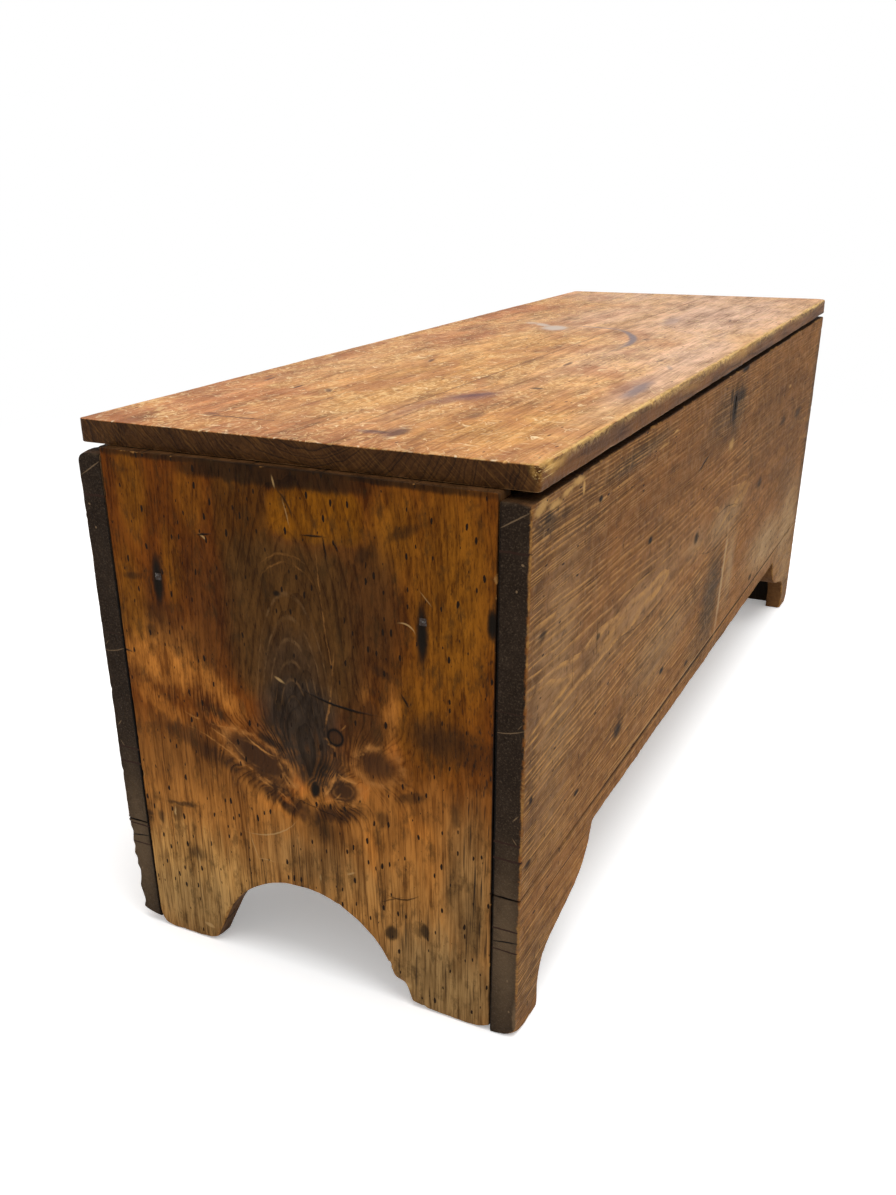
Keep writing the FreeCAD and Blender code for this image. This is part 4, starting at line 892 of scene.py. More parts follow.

# %% [markdown]
# ## The left end
#
# The end is one flat-sawn pine board with its grain upright. Under two centuries of shellac, wax
# and soot the wood has gone from straw to red-brown and amber. A cluster of knots low down has
# bled dark resin upwards, and the rings close over it in a nest of arches. Above the knots the pith
# slopes back into the wood, which gives the arches, and below them it runs level. Stains, scratches
# and rust round the nails are marks, listed in mm from the front corner and the floor.

# %% What has happened to the left end
END_TINTS = [
    ("#9a642c", [(200, 70, 300, 150, 0, 0.3, 10, 1.0), (345, 300, 44, 28, 0, 0.6, 8, 0.75)], "boxy"),
    ("#b48a50", [(330, 60, 110, 60, 0, 0.6, 10, 0.8), (150, 100, 90, 40, 0, 0.7, 10, 0.35)]),
    # Greyish tan low down; on the feet it is painted light, thrown up by the white floor.
    ("#8b7048", [(70, 30, 60, 60, 0, 0.5, 8, 0.85), (45, 120, 22, 80, 0, 0.6, 7, 0.6),
                 (335, 30, 60, 44, 0, 0.6, 8, 0.6), (200, 125, 50, 26, 0, 0.7, 8, 0.4)]),
    ("#5a2f06", [(330, 432, 22, 26, 0, 0.2, 4, 0.55), (300, 400, 12, 40, 0, 0.3, 4, 0.4),
                 (372, 350, 9, 60, 0, 0.4, 3, 0.35)], "boxy"),
    ("#825010", [(352, 440, 14, 40, 0, 0.5, 6, 0.7), (365, 340, 14, 46, 0, 0.6, 6, 0.7),
                 (318, 380, 10, 30, 0, 0.5, 5, 0.6), (62, 385, 36, 95, 0, 0.6, 10, 0.85),
                 (105, 430, 26, 34, 0, 0.7, 8, 0.8), (85, 290, 38, 46, 0, 0.7, 10, 0.7),
                 (292, 440, 16, 24, 0, 0.5, 6, 0.5)]),
    ("#54330c", [(243, 430, 28, 50, 0, 0.16, 3, 0.8)], "boxy"),
    ("#7a4907", [(176, 439.5, 42, 22, 0, 0.1, 1.6, 0.9)], "boxy"),
    ("#b8742f", [line((386, 296), (300, 284), 34, 7, 0.7), line((318, 300), (262, 258), 20, 5, 0.9),
                 line((372, 262), (325, 238), 18, 6, 0.5), line((122, 240), (110, 310), 16, 6, 0.8),
                 line((150, 275), (128, 322), 9, 5, 0.6), line((282, 214), (236, 190), 13, 4, 0.8),
                 line((250, 176), (215, 168), 10, 5, 0.5), line((110, 200), (80, 180), 20, 6, 0.6),
                 line((140, 178), (132, 130), 10, 5, 0.5), line((203, 190), (196, 205), 12, 2, 0.8)]),
    ("#4f3416", [(202, 345, 66, 74, 0, 0.14, 3, 0.95), (140, 372, 30, 50, 0, 0.3, 4, 0.7)], "boxy"),
    ("#4a2c12", [(125, 372, 27, 46, 0, 0.5, 5, 0.7), (284, 345, 24, 62, 0, 0.6, 6, 0.6),
                 (126, 325, 22, 36, 0, 0.6, 5, 0.6), (330, 335, 40, 26, 0, 0.7, 7, 0.35),
                 (140, 266, 19, 30, 10, 0.35, 3, 0.9), line((350, 232), (262, 200), 25, 5, 0.85),
                 line((264, 200), (192, 170), 20, 4, 0.95), line((196, 168), (142, 190), 18, 4, 0.9),
                 (178, 160, 16, 15, 0, 0.6, 3, 0.6), (288, 247, 19, 11, 24, 0.5, 3, 0.9),
                 (75, 272, 22, 16, 0, 0.6, 5, 0.7), (190, 118, 24, 48, 0, 0.6, 5, 0.35),
                 (330, 195, 50, 20, 0, 0.7, 6, 0.35)]),
    # A dark stain along the top; its second row, right under the lid, is painted shadow.
    ("#2c1a09", [(215, 467.5, 88, 9.5, 0, 0.25, 1.6, 0.95), (205, 472, 190, 3.6, 0, 0.4, 0.8, 0.95)],
     "boxy"),
    ("#3a2312", [line((306, 216), (240, 196), 16, 5, 0.7), line((244, 192), (196, 174), 18, 4, 0.8),
                 line((196, 174), (146, 186), 15, 4, 0.8), (120, 262, 10, 22, 14, 0.6, 4, 0.5)]),
    ("#b56c2c", [(207, 199, 10, 9, 0, 0.5, 3, 0.85), (143, 209, 7, 9, 20, 0.5, 2, 0.6),
                 (176, 196, 5, 6, 0, 0.5, 2, 0.5), line((300, 246), (270, 240), 9, 4, 0.7),
                 line((226, 188), (214, 181), 6, 2, 0.5), (112, 250, 7, 12, 10, 0.6, 3, 0.5)]),
    ("#32271e", [(201, 258, 40, 50, 0, 0.3, 3, 1.0), (205, 300, 30, 40, 0, 0.5, 4, 0.6),
                 (182, 214, 26, 17, 0, 0.35, 2.5, 0.95), (200, 240, 44, 22, 14, 0.4, 2.5, 0.9)]),
]
END_KNOT_HEARTS = [(166.5, 254, 6, 6, 0, 0.2, 0.5, 0.8), (244, 216, 34, 14.5, 27, 0.25, 1.6, 0.95),
                   (161, 204, 15, 10, -22, 0.2, 1.2, 0.9), (127, 236, 18, 13, -12, 0.6, 3.0, 0.85),
                   (228, 196, 14, 7, 30, 0.4, 2.0, 0.8)]
END_RIMS = [(244, 216, 38, 18, 27, 0.11, 2.0, 0.75), (244, 216, 25, 10, 27, 0.10, 2.0, 0.3),
            (161, 204, 18, 12.5, -22, 0.14, 2.0, 0.75), (161, 204, 10, 6, -22, 0.12, 1.5, 0.3),
            (127, 236, 23, 17, -12, 0.15, 2.6, 0.6)]
END_FLAMES = [line((316, 244), (262, 241), 1.6, 2.2, 0.6, 3),
              line((262, 241), (226, 222), 1.6, 1.6, 0.7, 4),
              line((300, 238), (258, 212), 1.5, 2.0, 0.6, -3),
              line((318, 232), (262, 205), 1.4, 2.0, 0.45, -4),
              line((262, 206), (226, 189), 1.8, 1.6, 0.6, -2),
              line((250, 196), (212, 178), 1.5, 1.6, 0.5, -3),
              line((226, 222), (206, 194), 2.4, 1.4, 0.65, 3),
              line((222, 210), (210, 190), 1.8, 1.2, 0.5, 2),
              line((184, 192), (168, 222), 1.8, 1.2, 0.65, 3),
              line((176, 190), (160, 213), 1.4, 1.2, 0.5, 3),
              line((168, 222), (146, 216), 1.6, 1.2, 0.55, 3),
              line((184, 188), (146, 192), 1.6, 1.2, 0.6, -4),
              line((146, 192), (136, 214), 1.8, 1.4, 0.5, -2),
              line((150, 240), (134, 254), 1.8, 1.6, 0.55, 3),
              line((176, 262), (168, 300), 1.8, 1.2, 0.5, 1), line((168, 300), (164, 330), 1.2, 1.2, 0.3),
              line((146, 188), (140, 150), 1.4, 1.8, 0.4), line((238, 186), (232, 160), 1.3, 1.8, 0.35),
              line((176, 418), (163, 300), 1.2, 1.6, 0.3, 3),
              line((180, 386), (228, 386), 1.8, 2.0, 0.3, 13),
              line((186, 399), (224, 399), 1.6, 2.0, 0.25, 7), (172.5, 247, 5.5, 2.6, 38, 0.5, 1.2, 0.9),
              line((160, 262), (154, 270), 1.4, 1.0, 0.4)]
END_PLUG = [(166.5, 254, 7.0, 7.0, 0, 0.21, 0.5, 1.0)]
# Dirt and rust round the nails; the first row, along the top under the lid, is painted shadow.
END_DIRT_AND_LID_SHADOW = [(202, 476, 230, 3.4, 0, 0.3, 0.3, 1.0), line((320, 150), (352, 146), 5, 3, 0.75),
            (342, 138, 6, 11, 20, 0.5, 3, 0.6), (378, 128, 5, 3, 0, 0.5, 1, 0.7),
            (324, 98, 8, 8, 0, 0.5, 4, 0.55), (119, 73, 6, 8, 25, 0.3, 2, 0.85),
            (86, 86, 4, 8, -8, 0.3, 1.5, 0.85), (42, 100, 9, 40, 0, 0.6, 5, 0.5),
            (60, 140, 6, 26, 0, 0.6, 4, 0.4), (338, 336, 14, 12, 0, 0.7, 5, 0.45),
            (334.5, 366, 5.6, 22, 0, 0.4, 1.2, 1.0), (85.5, 358, 4.8, 24, 0, 0.4, 1.2, 1.0),
            (125, 187, 6, 8, 0, 0.5, 3, 0.6), (97, 214, 13, 4.5, -18, 0.5, 3, 0.6),
            (348, 318, 5, 6, 0, 0.5, 2, 0.6), (58, 208, 4, 12, 0, 0.5, 2, 0.6),
            (28, 376, 4.2, 12, 0, 0.35, 1, 1.0), (189, 199, 4.5, 8, 10, 0.3, 1.2, 1.0),
            (363, 127, 3, 7, 0, 0.5, 2, 0.7), (100, 436, 14, 4, -25, 0.5, 2, 0.55),
            (135, 414, 5, 7, 40, 0.5, 2, 0.5), (120, 320, 10, 4, 20, 0.5, 3, 0.5),
            (52, 268, 46, 16, 8, 0.6, 6, 0.55), (184, 222, 16, 8, -30, 0.5, 3, 0.6),
            (232, 236, 14, 4, 20, 0.5, 2, 0.8), (380, 122, 6, 4, 0, 0.5, 2, 0.6),
            (215, 372, 3, 2.5, 0, 0.4, 0.6, 0.9), (188, 160, 14, 12, 0, 0.6, 4, 0.45),
            (362, 366, 9, 3, -10, 0.5, 2, 0.6)]
END_PALE = [line((260, 137), (214, 158), 1.3, 1.0, 0.6, 5), line((262, 136), (255, 112), 1.1, 1.0, 0.45),
            line((255, 112), (237, 113), 1.1, 1.0, 0.4), line((324, 96), (323, 82), 1.4, 0.8, 0.6),
            line((286, 412), (280, 408), 1.8, 0.8, 0.7), line((86, 392), (78, 383), 1.0, 0.8, 0.4),
            line((222, 298), (214, 294), 2.4, 0.8, 0.7), line((92, 360), (104, 365), 1.4, 0.8, 0.7, 2),
            line((210, 458), (212, 466), 1.6, 0.6, 0.6), line((203, 448), (199, 430), 1.2, 0.8, 0.4),
            (346, 138, 1.2, 3.4, 0, 0.5, 2, 0.8), (320, 17, 5, 2, 12, 0.4, 2.5, 0.7),
            (157, 124, 4, 0.9, -25, 0.5, 1, 0.6), (104, 21, 4, 3, -20, 0.5, 3.0, 0.6),
            (189, 110, 0.9, 3, 0, 0.5, 1, 0.5)]
END_CRACKS = [line((134, 282), (188, 289), 2.2, 1.2, 1.0, -2), line((127, 70), (132, 145), 0.9, 1.5, 0.5),
              line((120, 112), (94, 118), 1.3, 1, 0.8, 3), line((127, 104), (108, 114), 1.0, 1, 0.6),
              line((187, 423), (168, 424), 1.5, 1, 0.9), line((169, 424), (167, 406), 1.5, 1, 0.9),
              line((388, 296), (374, 294), 1.8, 0.4, 0.95), line((288, 411), (276, 413), 1.7, 0.5, 0.95),
              line((104, 305), (98, 296), 2.0, 0.5, 0.9), line((160, 421), (156, 414), 1.5, 0.7, 0.8),
              line((206, 454), (196, 436), 1.6, 1, 0.7, -2), line((212, 186), (160, 176), 1.2, 2, 0.5)]
END_KNOTS = [(243, 218, 34, 22, 24, 0.9, 2.0, 30.0), (161, 204, 24, 18, -22, 0.9, 2.0, 26.0),
             (126, 235, 26, 22, -12, 0.9, 2.0, 24.0), (189, 198, 9, 12, 0, 0.85, 1.0, 14.0)]
# Where the open pores are sooty, by the front arris and round the arch; and a dark line down the joints at
# both sides, the painted shade of their gaps.
END_CHARRED = [(22, 180, 34, 150, 0, 0.7, 5, 1.0), (190, 50, 190, 70, 0, 0.8, 8, 0.7)]
END_JOINT_SHADOWS = [(24.6, 236, 1.5, 260, 0, 0.4, 0.3, 1.0), (381.2, 236, 1.3, 260, 0, 0.4, 0.3, 1.0)]
# The nest of arches: its centre, the half sizes of the outermost one, and how many lines it has.
ARCH_CENTRE, ARCH_HALF, ARCH_LINES = (205.0, 250.0, 0.0), (37.0, 123.0, 30.0), 8.0
KNOT_ZONE = [(240, 216, 62, 30, 24, 0.7, 5, 0.8), (152, 214, 44, 34, -22, 0.7, 5, 0.75),
             (300, 262, 60, 34, 18, 0.8, 6, 0.5)]


def nested_arches(tree, place, warp, figure, colour, height, **_):
    """Pale arches over the knots: level lines of the length of (u, v) from a centre below them, where
    u and v are the place over the half sizes of the outermost arch. Only the upper half shows.

    Round the knots the growth rings themselves turn pale and dark, and a noise breaks all of these
    lines into pieces.
    """
    moved = add(tree, "VectorMath.ADD", place, warp)
    offset = add(tree, "VectorMath.SUBTRACT", moved, ARCH_CENTRE)
    share = add(tree, "VectorMath.DIVIDE", offset, ARCH_HALF)
    reach = add(tree, "VectorMath.LENGTH", share)
    curved = add(tree, "Math.POWER", reach, 0.75)
    wave = add(tree, "Math.COSINE", add(tree, "Math.MULTIPLY", curved, ARCH_LINES * 2 * math.pi))
    crest = add(tree, "MapRange", wave, 0.68, 1.0, 0.0, 0.5)
    up = add(tree, "VectorMath.DOT_PRODUCT", share, (0, 1, 0))
    above = add(tree, "MapRange", up, 0.1, 0.4)
    within = add(tree, "MapRange", reach, 1.02, 1.08, 1.0, 0.0)
    breaks = add(tree, "TexNoise", {"Vector": place, "Scale": 1 / 13.0, "Detail": 3.0, "Roughness": 0.6})
    broken = add(tree, "MapRange", breaks, 0.40, 0.62)
    arches = add(tree, "Math.MULTIPLY", crest, add(tree, "Math.MULTIPLY", above, within))
    fine, rims, flames, pale = (add(tree, "Math.MULTIPLY", mask, broken) for mask in (
        arches, marks(tree, place, warp, END_RIMS, "hollow"), marks(tree, place, warp, END_FLAMES),
        marks(tree, place, warp, KNOT_ZONE)))
    early = add(tree, "MapRange", figure.outputs["Late"], 0.0, 0.30, 1.0, 0.0)
    charred = add(tree, "Math.MULTIPLY", marks(tree, place, warp, END_CHARRED), figure.outputs["Hairs"])
    height = add(tree, "Math.MULTIPLY_ADD", figure.outputs["Hairs"], -0.10, height)
    cells = add(tree, "VectorMath.DIVIDE", place, (11.0, 26.0, 15.0))
    soot = add(tree, "TexNoise", {"Vector": cells, "Scale": 1.0, "Detail": 6.0, "Roughness": 0.7})
    grime = add(tree, "MapRange", soot, 0.52, 0.64, 0.0, 0.55)
    return layered(tree, colour, [
        ("#36240f", grime), ("#2a2118", charred), ("#7b5a38", fine),
        ("#a9692c", add(tree, "Math.MULTIPLY", pale, early)),
        ("#3b2414", marks(tree, place, warp, END_KNOT_HEARTS)), ("#b0743a", rims), ("#c08344", flames),
        ("#17110b", marks(tree, place, warp, END_DIRT_AND_LID_SHADOW)),
        ("#120c08", marks(tree, place, warp, END_PLUG, "hollow")),
        ("#bd9762", marks(tree, place, warp, END_PALE)),
        ("#0d0906", marks(tree, place, warp, END_JOINT_SHADOWS))]), height


# What the two ends share, which are boards of one tree.
UPRIGHT = dict(grain_up=True, spots=[], bare="#a9783f", edge_tint="#5a3c20", sawn="#4a311b",
               span=(0.0, END_HIGH[2]))
left_end_pine = old_pine("flat-sawn pine under brown shellac", "left", (LEFT, FRONT, 0.0),
                         rings=((202.0, 16.0), 0.2, 235.0, 4.2, 26.0),
                         shares=(0.5, 1.6, 1.5, 1.0, 0.36, 0.4), tint="#6a370a", tints=END_TINTS,
                         cracks=END_CRACKS, pits=((7.0, 19.0), 0.19, "#20140b"), relief=0.16,
                         knots=END_KNOTS, extra=nested_arches, gloss=0.05, **UPRIGHT)
left_end.data.materials.append(left_end_pine)

# %% [markdown]
# ## The front
#
# The long boards are the same pine with the grain lengthwise. Their soft years have worn down and
# left the hard ones standing as fine ridges, which catch the light; their pale colour is partly
# rubbed wood and partly painted highlight. The front is paler than the end. The ends of the boards,
# where the pores are cut across, have drunk dirt until they are nearly black. Both boards of the
# front take one figure and one set of marks, because they have aged side by side.

# %% What has happened to the front
FRONT_TINTS = [
    ("#7b512b", [(250, 430, 340, 42, 0, 0.7, 9, 0.8), (700, 440, 260, 34, 0, 0.7, 9, 0.6)]),
    ("#6d553c", [(90, 400, 60, 90, 0, 0.7, 9, 0.35), (140, 270, 70, 60, 0, 0.7, 9, 0.4),
                 (330, 220, 90, 50, 0, 0.7, 9, 0.35), (60, 180, 50, 40, 0, 0.7, 9, 0.4)]),
    ("#5f4022", [(110, 440, 150, 26, 0, 0.7, 9, 0.5), (345, 350, 80, 30, 0, 0.7, 9, 0.4),
                 (60, 250, 60, 30, 0, 0.7, 9, 0.3), (430, 390, 120, 22, 0, 0.7, 9, 0.4)]),
    ("#6e4a27", [(860, 370, 190, 70, 0, 0.7, 9, 0.85), (1060, 330, 190, 90, 0, 0.7, 10, 0.8),
                 (720, 340, 90, 60, 0, 0.7, 9, 0.5), (150, 190, 140, 34, 0, 0.7, 9, 0.35)]),
    ("#a68a66", [(385, 228, 90, 34, 0, 0.7, 8, 0.4), (300, 300, 150, 26, 2, 0.9, 9, 0.35),
                 (640, 292, 90, 20, 0, 0.8, 8, 0.6), (500, 300, 44, 16, 0, 0.8, 8, 0.4),
                 (950, 176, 120, 34, -6, 0.7, 9, 0.85), (1120, 160, 90, 60, 0, 0.7, 9, 0.8),
                 (60, 300, 44, 90, 0, 0.7, 9, 0.35), (690, 230, 26, 60, 0, 0.7, 6, 0.4),
                 (1150, 90, 60, 60, 0, 0.6, 6, 0.6)]),
    ("#4a3a29", [(600, 205, 46, 66, -14, 0.6, 10, 0.95), (540, 160, 50, 30, 0, 0.7, 8, 0.6),
                 (520, 236, 46, 22, 0, 0.7, 8, 0.55), (590, 425, 90, 32, 0, 0.7, 9, 0.7),
                 (260, 450, 90, 8, 2, 0.6, 4, 0.8), (30, 447, 26, 12, 0, 0.6, 4, 0.8),
                 (1206, 300, 16, 170, 0, 0.6, 4, 0.7), (672, 124, 60, 7, 0, 0.5, 3, 0.5),
                 (32, 50, 50, 44, 0, 0.6, 8, 0.65), (640, 422, 46, 34, 0, 0.6, 8, 0.8),
                 (1180, 30, 40, 30, 0, 0.6, 6, 0.7), (15, 300, 13, 190, 0, 0.6, 6, 0.45),
                 (1050, 250, 60, 30, 0, 0.7, 9, 0.35)]),
]
FRONT_SPOTS = [
    ("#17110c", [(150, 436, 5, 2.6, 0, 0.4, 1.2, 1.0), (308, 358, 7, 3.6, 0, 0.5, 1.5, 1.0),
                 (497, 308, 9, 6.5, 0, 0.5, 2, 0.9), (17, 228, 4, 3.2, 0, 0.4, 1, 0.95),
                 (128, 178, 6, 2.4, 0, 0.4, 1, 0.95), (243, 188, 13, 7, 0, 0.6, 3, 0.9),
                 (393, 191, 8, 3, 0, 0.4, 1.2, 1.0), (504, 156, 8, 3, 0, 0.5, 1.5, 0.85),
                 (850, 155, 10, 4, 0, 0.5, 2, 0.85), (838, 292, 15, 7, 0, 0.6, 3, 0.8),
                 (1085, 343, 22, 7, 0, 0.6, 4, 0.7), (968, 352, 18, 6, 0, 0.6, 3, 0.6),
                 (628, 428, 14, 20, 0, 0.5, 3, 0.95), (658, 437, 24, 8, 0, 0.5, 4, 0.8),
                 (607, 444, 8, 6, 0, 0.5, 3, 0.8), (668, 465, 18, 3.6, 0, 0.4, 1.5, 0.95),
                 (15, 170, 6, 3, 0, 0.5, 1.5, 0.8), (30, 362, 8, 3, 0, 0.5, 1.5, 0.8),
                 (32, 450, 7, 4, 0, 0.5, 2, 0.8), (70, 446, 12, 4, 0, 0.6, 2, 0.6),
                 (165, 312, 5, 3, 0, 0.5, 1.5, 0.85), (650, 118, 5, 2.4, 0, 0.4, 1, 0.7),
                 (404, 122, 9, 1.6, 0, 0.5, 1, 0.8), (760, 340, 9, 7, 0, 0.6, 3, 0.5)]),
    ("#1a110a",
     [line((-5, 142.1), (1225, 142.1), 3.0, 0.5, 0.9), line((-5, 140.6), (640, 139.8), 2.4, 0.8, 0.5)]),
    # A pale line just above the seam: painted highlight on the seam's upper edge.
    ("#c09a68", [line((230, 145.6), (760, 145.2), 1.6, 0.8, 0.6)]),
    ("#b79a74", [line((666, 270), (647, 146), 12, 6, 0.66), (700, 215, 16, 30, 0, 0.7, 5, 0.25)]),
    ("#c2975a", [(18, 461, 13, 3.6, 8, 0.5, 3, 0.8), (46, 457, 12, 2.6, -6, 0.5, 3, 0.8),
                 (72, 461, 11, 2.2, 8, 0.5, 2.5, 0.85), (94, 463, 12, 2.6, -2, 0.5, 2.5, 0.9),
                 (107, 455, 2.6, 5, 0, 0.4, 1, 0.9), line((671, 262), (655, 196), 4, 2, 0.5),
                 (372, 448, 7, 1.0, 0, 0.4, 0.8, 0.9), (630, 384, 11, 6, 0, 0.6, 4, 0.7),
                 (990, 396, 8, 2, 0, 0.5, 1, 0.6), line((232, 152), (330, 146), 1.6, 1, 0.6),
                 (330, 442, 16, 1.2, 0, 0.5, 1, 0.6)]),
]
FRONT_CRACKS = [line((340, 243), (500, 242), 1.1, 1.5, 0.8), line((480, 386), (522, 395), 2.8, 1, 0.95),
                line((700, 371), (722, 371), 2.2, 1, 0.85),
                line((617, 406), (612, 450), 2.4, 1.2, 0.95, 8),
                line((0, 118), (180, 115), 1.0, 1.5, 0.8), line((775, 392), (776, 440), 1.5, 1, 0.5),
                line((60, 424), (330, 426), 0.9, 1, 0.5), line((160, 334), (163, 296), 1.3, 1.5, 0.75),
                line((100, 330), (103, 288), 1.0, 1.5, 0.55),
                line((200, 312), (330, 322), 1.1, 2, 0.7, 9),
                line((230, 288), (420, 284), 1.1, 2, 0.65, -9),
                line((560, 304), (700, 296), 1.2, 2, 0.7, 8),
                line((520, 284), (640, 268), 1.1, 2, 0.6, -6),
                line((250, 160), (250, 146), 1.6, 0.8, 0.6)]
STRIP_WEAR = [line((23, 449), (3, 461), 1.0, 0.4, 0.6), line((0, 296), (25, 290), 0.9, 0.4, 0.55, -1.5),
              (6, 424, 1.2, 0.8, 20, 0.4, 0.3, 0.7), (10, 404, 0.8, 1.0, 0, 0.4, 0.3, 0.7),
              (12, 90, 12, 70, 0, 0.8, 3, 0.34), line((3, 300), (6, 296), 0.8, 0.3, 0.4),
              line((4, 221), (8, 216), 1.0, 0.3, 0.6), line((8, 200), (4, 194), 0.9, 0.3, 0.5),
              (14, 150, 5, 6, 0, 0.8, 2, 0.15), line((2, 138), (20, 132), 1.2, 0.4, 0.3),
              (20, 470, 8, 3, 0, 0.6, 2, 0.35), (2, 20, 2, 20, 0, 0.6, 2, 0.5),
              (22, 128, 3, 9, 0, 0.6, 2, 0.25), (9, 60, 1.0, 1.6, 0, 0.4, 0.3, 0.6),
              (7, 28, 0.9, 1.4, 0, 0.4, 0.3, 0.6)]
# The strip's cracks, and along its inner edge the painted shade of the joint with the end.
STRIP_CRACKS_AND_JOINT_SHADOW = [line((0, 101), (25, 97), 1.4, 0.5, 1.0), (24.0, 240, 1.4, 260, 0, 0.4, 0.2, 1.0)]
STRIP_ARRIS = (0.6, 240, 1.5, 250, 0, 0.5, 1.2)
# Where the front is too smooth for pale ridges, and the shadow under the lid.
FRONT_SMOOTH = [(990, 330, 270, 210, 0, 0.7, 12, 0.8), (600, 205, 50, 66, -14, 0.6, 8, 0.7),
                (450, 405, 250, 62, 2, 0.8, 14, 0.7), (560, 320, 160, 50, 0, 0.8, 12, 0.4)]
UNDER_LID = [(610, 471.5, 900, 5.0, 0, 0.15, 0.5, 0.92)]


def from_the_back(rows):
    """Rows of marks on the end of a front board, for the end of a back board: across is mirrored."""
    return [(DEPTH - across, *rest) for across, *rest in rows]


def dark_ends(front):
    """What the sawn ends of the long boards show: scuffs, cracks and the shadow of the joint.

    On the face, the summer lines of the rings stand proud and are pale in pieces: partly rubbed, and
    partly painted highlight where the ridges catch the light.
    """
    def extra(tree, place, warp, figure, colour, height, at_end, off_face, **_):
        cells = add(tree, "VectorMath.DIVIDE", place, (24.0, 9.0, 9.0))
        breaks = add(tree, "TexNoise", {"Vector": cells, "Scale": 1.0, "Detail": 4.0, "Roughness": 0.65})
        rubbed = add(tree, "MapRange", breaks, 0.36, 0.58, 0.0, 0.9)
        ridge = add(tree, "MapRange", figure.outputs["Late"], 0.15, 0.50)
        on_face = add(tree, "Math.SUBTRACT", 1.0, off_face)
        smooth = marks(tree, place, warp, FRONT_SMOOTH)
        shown = add(tree, "Math.SUBTRACT", on_face, smooth, use_clamp=True)
        # Pale summer lines: partly rubbed wood, partly painted highlight on the ridges.
        pale = add(tree, "Math.MULTIPLY", add(tree, "Math.MULTIPLY", ridge, rubbed), shown)
        fine = add(tree, "TexNoise", {"Vector": place, "Scale": 1 / 1.6, "Detail": 3.0, "Roughness": 0.7})
        specks = add(tree, "Math.MULTIPLY", add(tree, "MapRange", fine, 0.52, 0.72, 0.0, 0.4), at_end)
        dents = add(tree, "TexNoise", {"Vector": place, "Scale": 1 / 13.0, "Detail": 5.0,
                                       "Roughness": 0.65, "Distortion": 0.6})
        low = add(tree, "Math.MULTIPLY", add(tree, "MapRange", dents, 0.47, 0.34, 0.0, 0.55), on_face)
        high = add(tree, "Math.MULTIPLY", add(tree, "MapRange", dents, 0.52, 0.66, 0.0, 0.35), on_face)
        jolted = add(tree, "VectorMath.ADD", place, warp)
        chopped = dashes(tree, jolted, (13.0, 26.0), 0.13)
        chops = add(tree, "Math.MULTIPLY", chopped, add(tree, "Math.MULTIPLY", on_face, 0.7))
        height = add(tree, "Math.MULTIPLY_ADD", dents, 2.4, height)
        colour = layered(tree, colour, [("#4e3723", low), ("#a07c55", high), ("#b9884e", pale),
                                        ("#38271a", chops), ("#6b5a48", specks)])
        end = board_place(tree, "left", (LEFT, FRONT, 0.0))
        seam = (12.0, round(SEAM if front else BACK_SEAM, 1), 14.0, 1.0, 0, 0.3, 0.3, 1.0)
        wear, cuts = STRIP_WEAR, STRIP_CRACKS_AND_JOINT_SHADOW + [seam]
        if not front:
            wear, cuts = from_the_back(wear), from_the_back(cuts)
        arris = marks(tree, end, warp, [(*STRIP_ARRIS, 1.0 if front else 0.0)], depth=3.0)
        edge = add(tree, "Math.MULTIPLY", arris, add(tree, "MapRange", breaks, 0.46, 0.58, 0.0, 0.9))
        # Along the top of the boards, under the lid: painted shadow.
        gap = marks(tree, place, warp, UNDER_LID, "boxy", depth=80.0)
        return layered(tree, colour, [("#100b07", gap), ("#7c4a20", edge),
                                      ("#8d7356", marks(tree, end, warp, wear, depth=3.0)),
                                      ("#070504", marks(tree, end, warp, cuts, depth=3.0))]), height
    return extra


# %% The pine of the front and of the back
# What the front and the back share, whose boards run lengthwise.
LONG = dict(grain_up=False, shares=(0.0, 0.8, 0.6, 1.3, 0.12, 0.3), pits=((34.0, 11.0), 0.11, "#33221a"),
            bare="#a5773f", edge_tint="#6b4a2c", sawn="#2a2018", span=(0.0, LENGTH), gloss=0.06,
            rough=(0.6, 0.82))
front_pine = old_pine("flat-sawn pine worn by hands", "front", (LEFT, FRONT, 0.0),
                      rings=((305.0, 70.0), 0.012, 0.0, 3.0, 12.0), tint="#83572e", tints=FRONT_TINTS,
                      spots=FRONT_SPOTS, cracks=FRONT_CRACKS, relief=0.5, extra=dark_ends(True), **LONG)
BACK_TINTS = [("#5a4229", [(300, 200, 160, 60, 3, 0.7, 12, 0.7), (820, 330, 220, 70, -2, 0.7, 12, 0.6),
                           (560, 430, 260, 30, 0, 0.7, 10, 0.7), (1050, 150, 130, 40, 5, 0.7, 12, 0.6),
                           (610, 60, 620, 40, 0, 0.6, 8, 0.5)]),
              ("#957650", [(700, 210, 190, 40, 0, 0.7, 10, 0.6), (180, 360, 110, 34, 0, 0.7, 10, 0.5)])]
BACK_SPOTS = [("#17110c", [(120, 300, 9, 4, 0, 0.5, 2, 0.9), (430, 250, 12, 6, 0, 0.5, 3, 0.8),
                           (760, 410, 8, 4, 0, 0.5, 2, 0.9), (980, 260, 14, 6, 0, 0.6, 3, 0.7),
                           (1100, 380, 6, 4, 0, 0.4, 1, 0.9)])]
BACK_CRACKS = [line((90, 318), (460, 312), 1.2, 2, 0.8), line((700, 180), (1010, 188), 1.1, 2, 0.7),
               line((1219, 402), (1010, 398), 1.3, 1.5, 0.8)]
back_pine = old_pine("flat-sawn pine, dusty and unpolished", "back", (LEFT, BACK, 0.0),
                     rings=((250.0, 55.0), 0.012, 0.0, 4.0, 30.0), tint="#7d6040", tints=BACK_TINTS,
                     spots=BACK_SPOTS, cracks=BACK_CRACKS, relief=0.25, extra=dark_ends(False), **LONG)
for board in (front_board, front_skirt):
    board.data.materials.append(front_pine)
for board in (back_board, back_skirt):
    board.data.materials.append(back_pine)
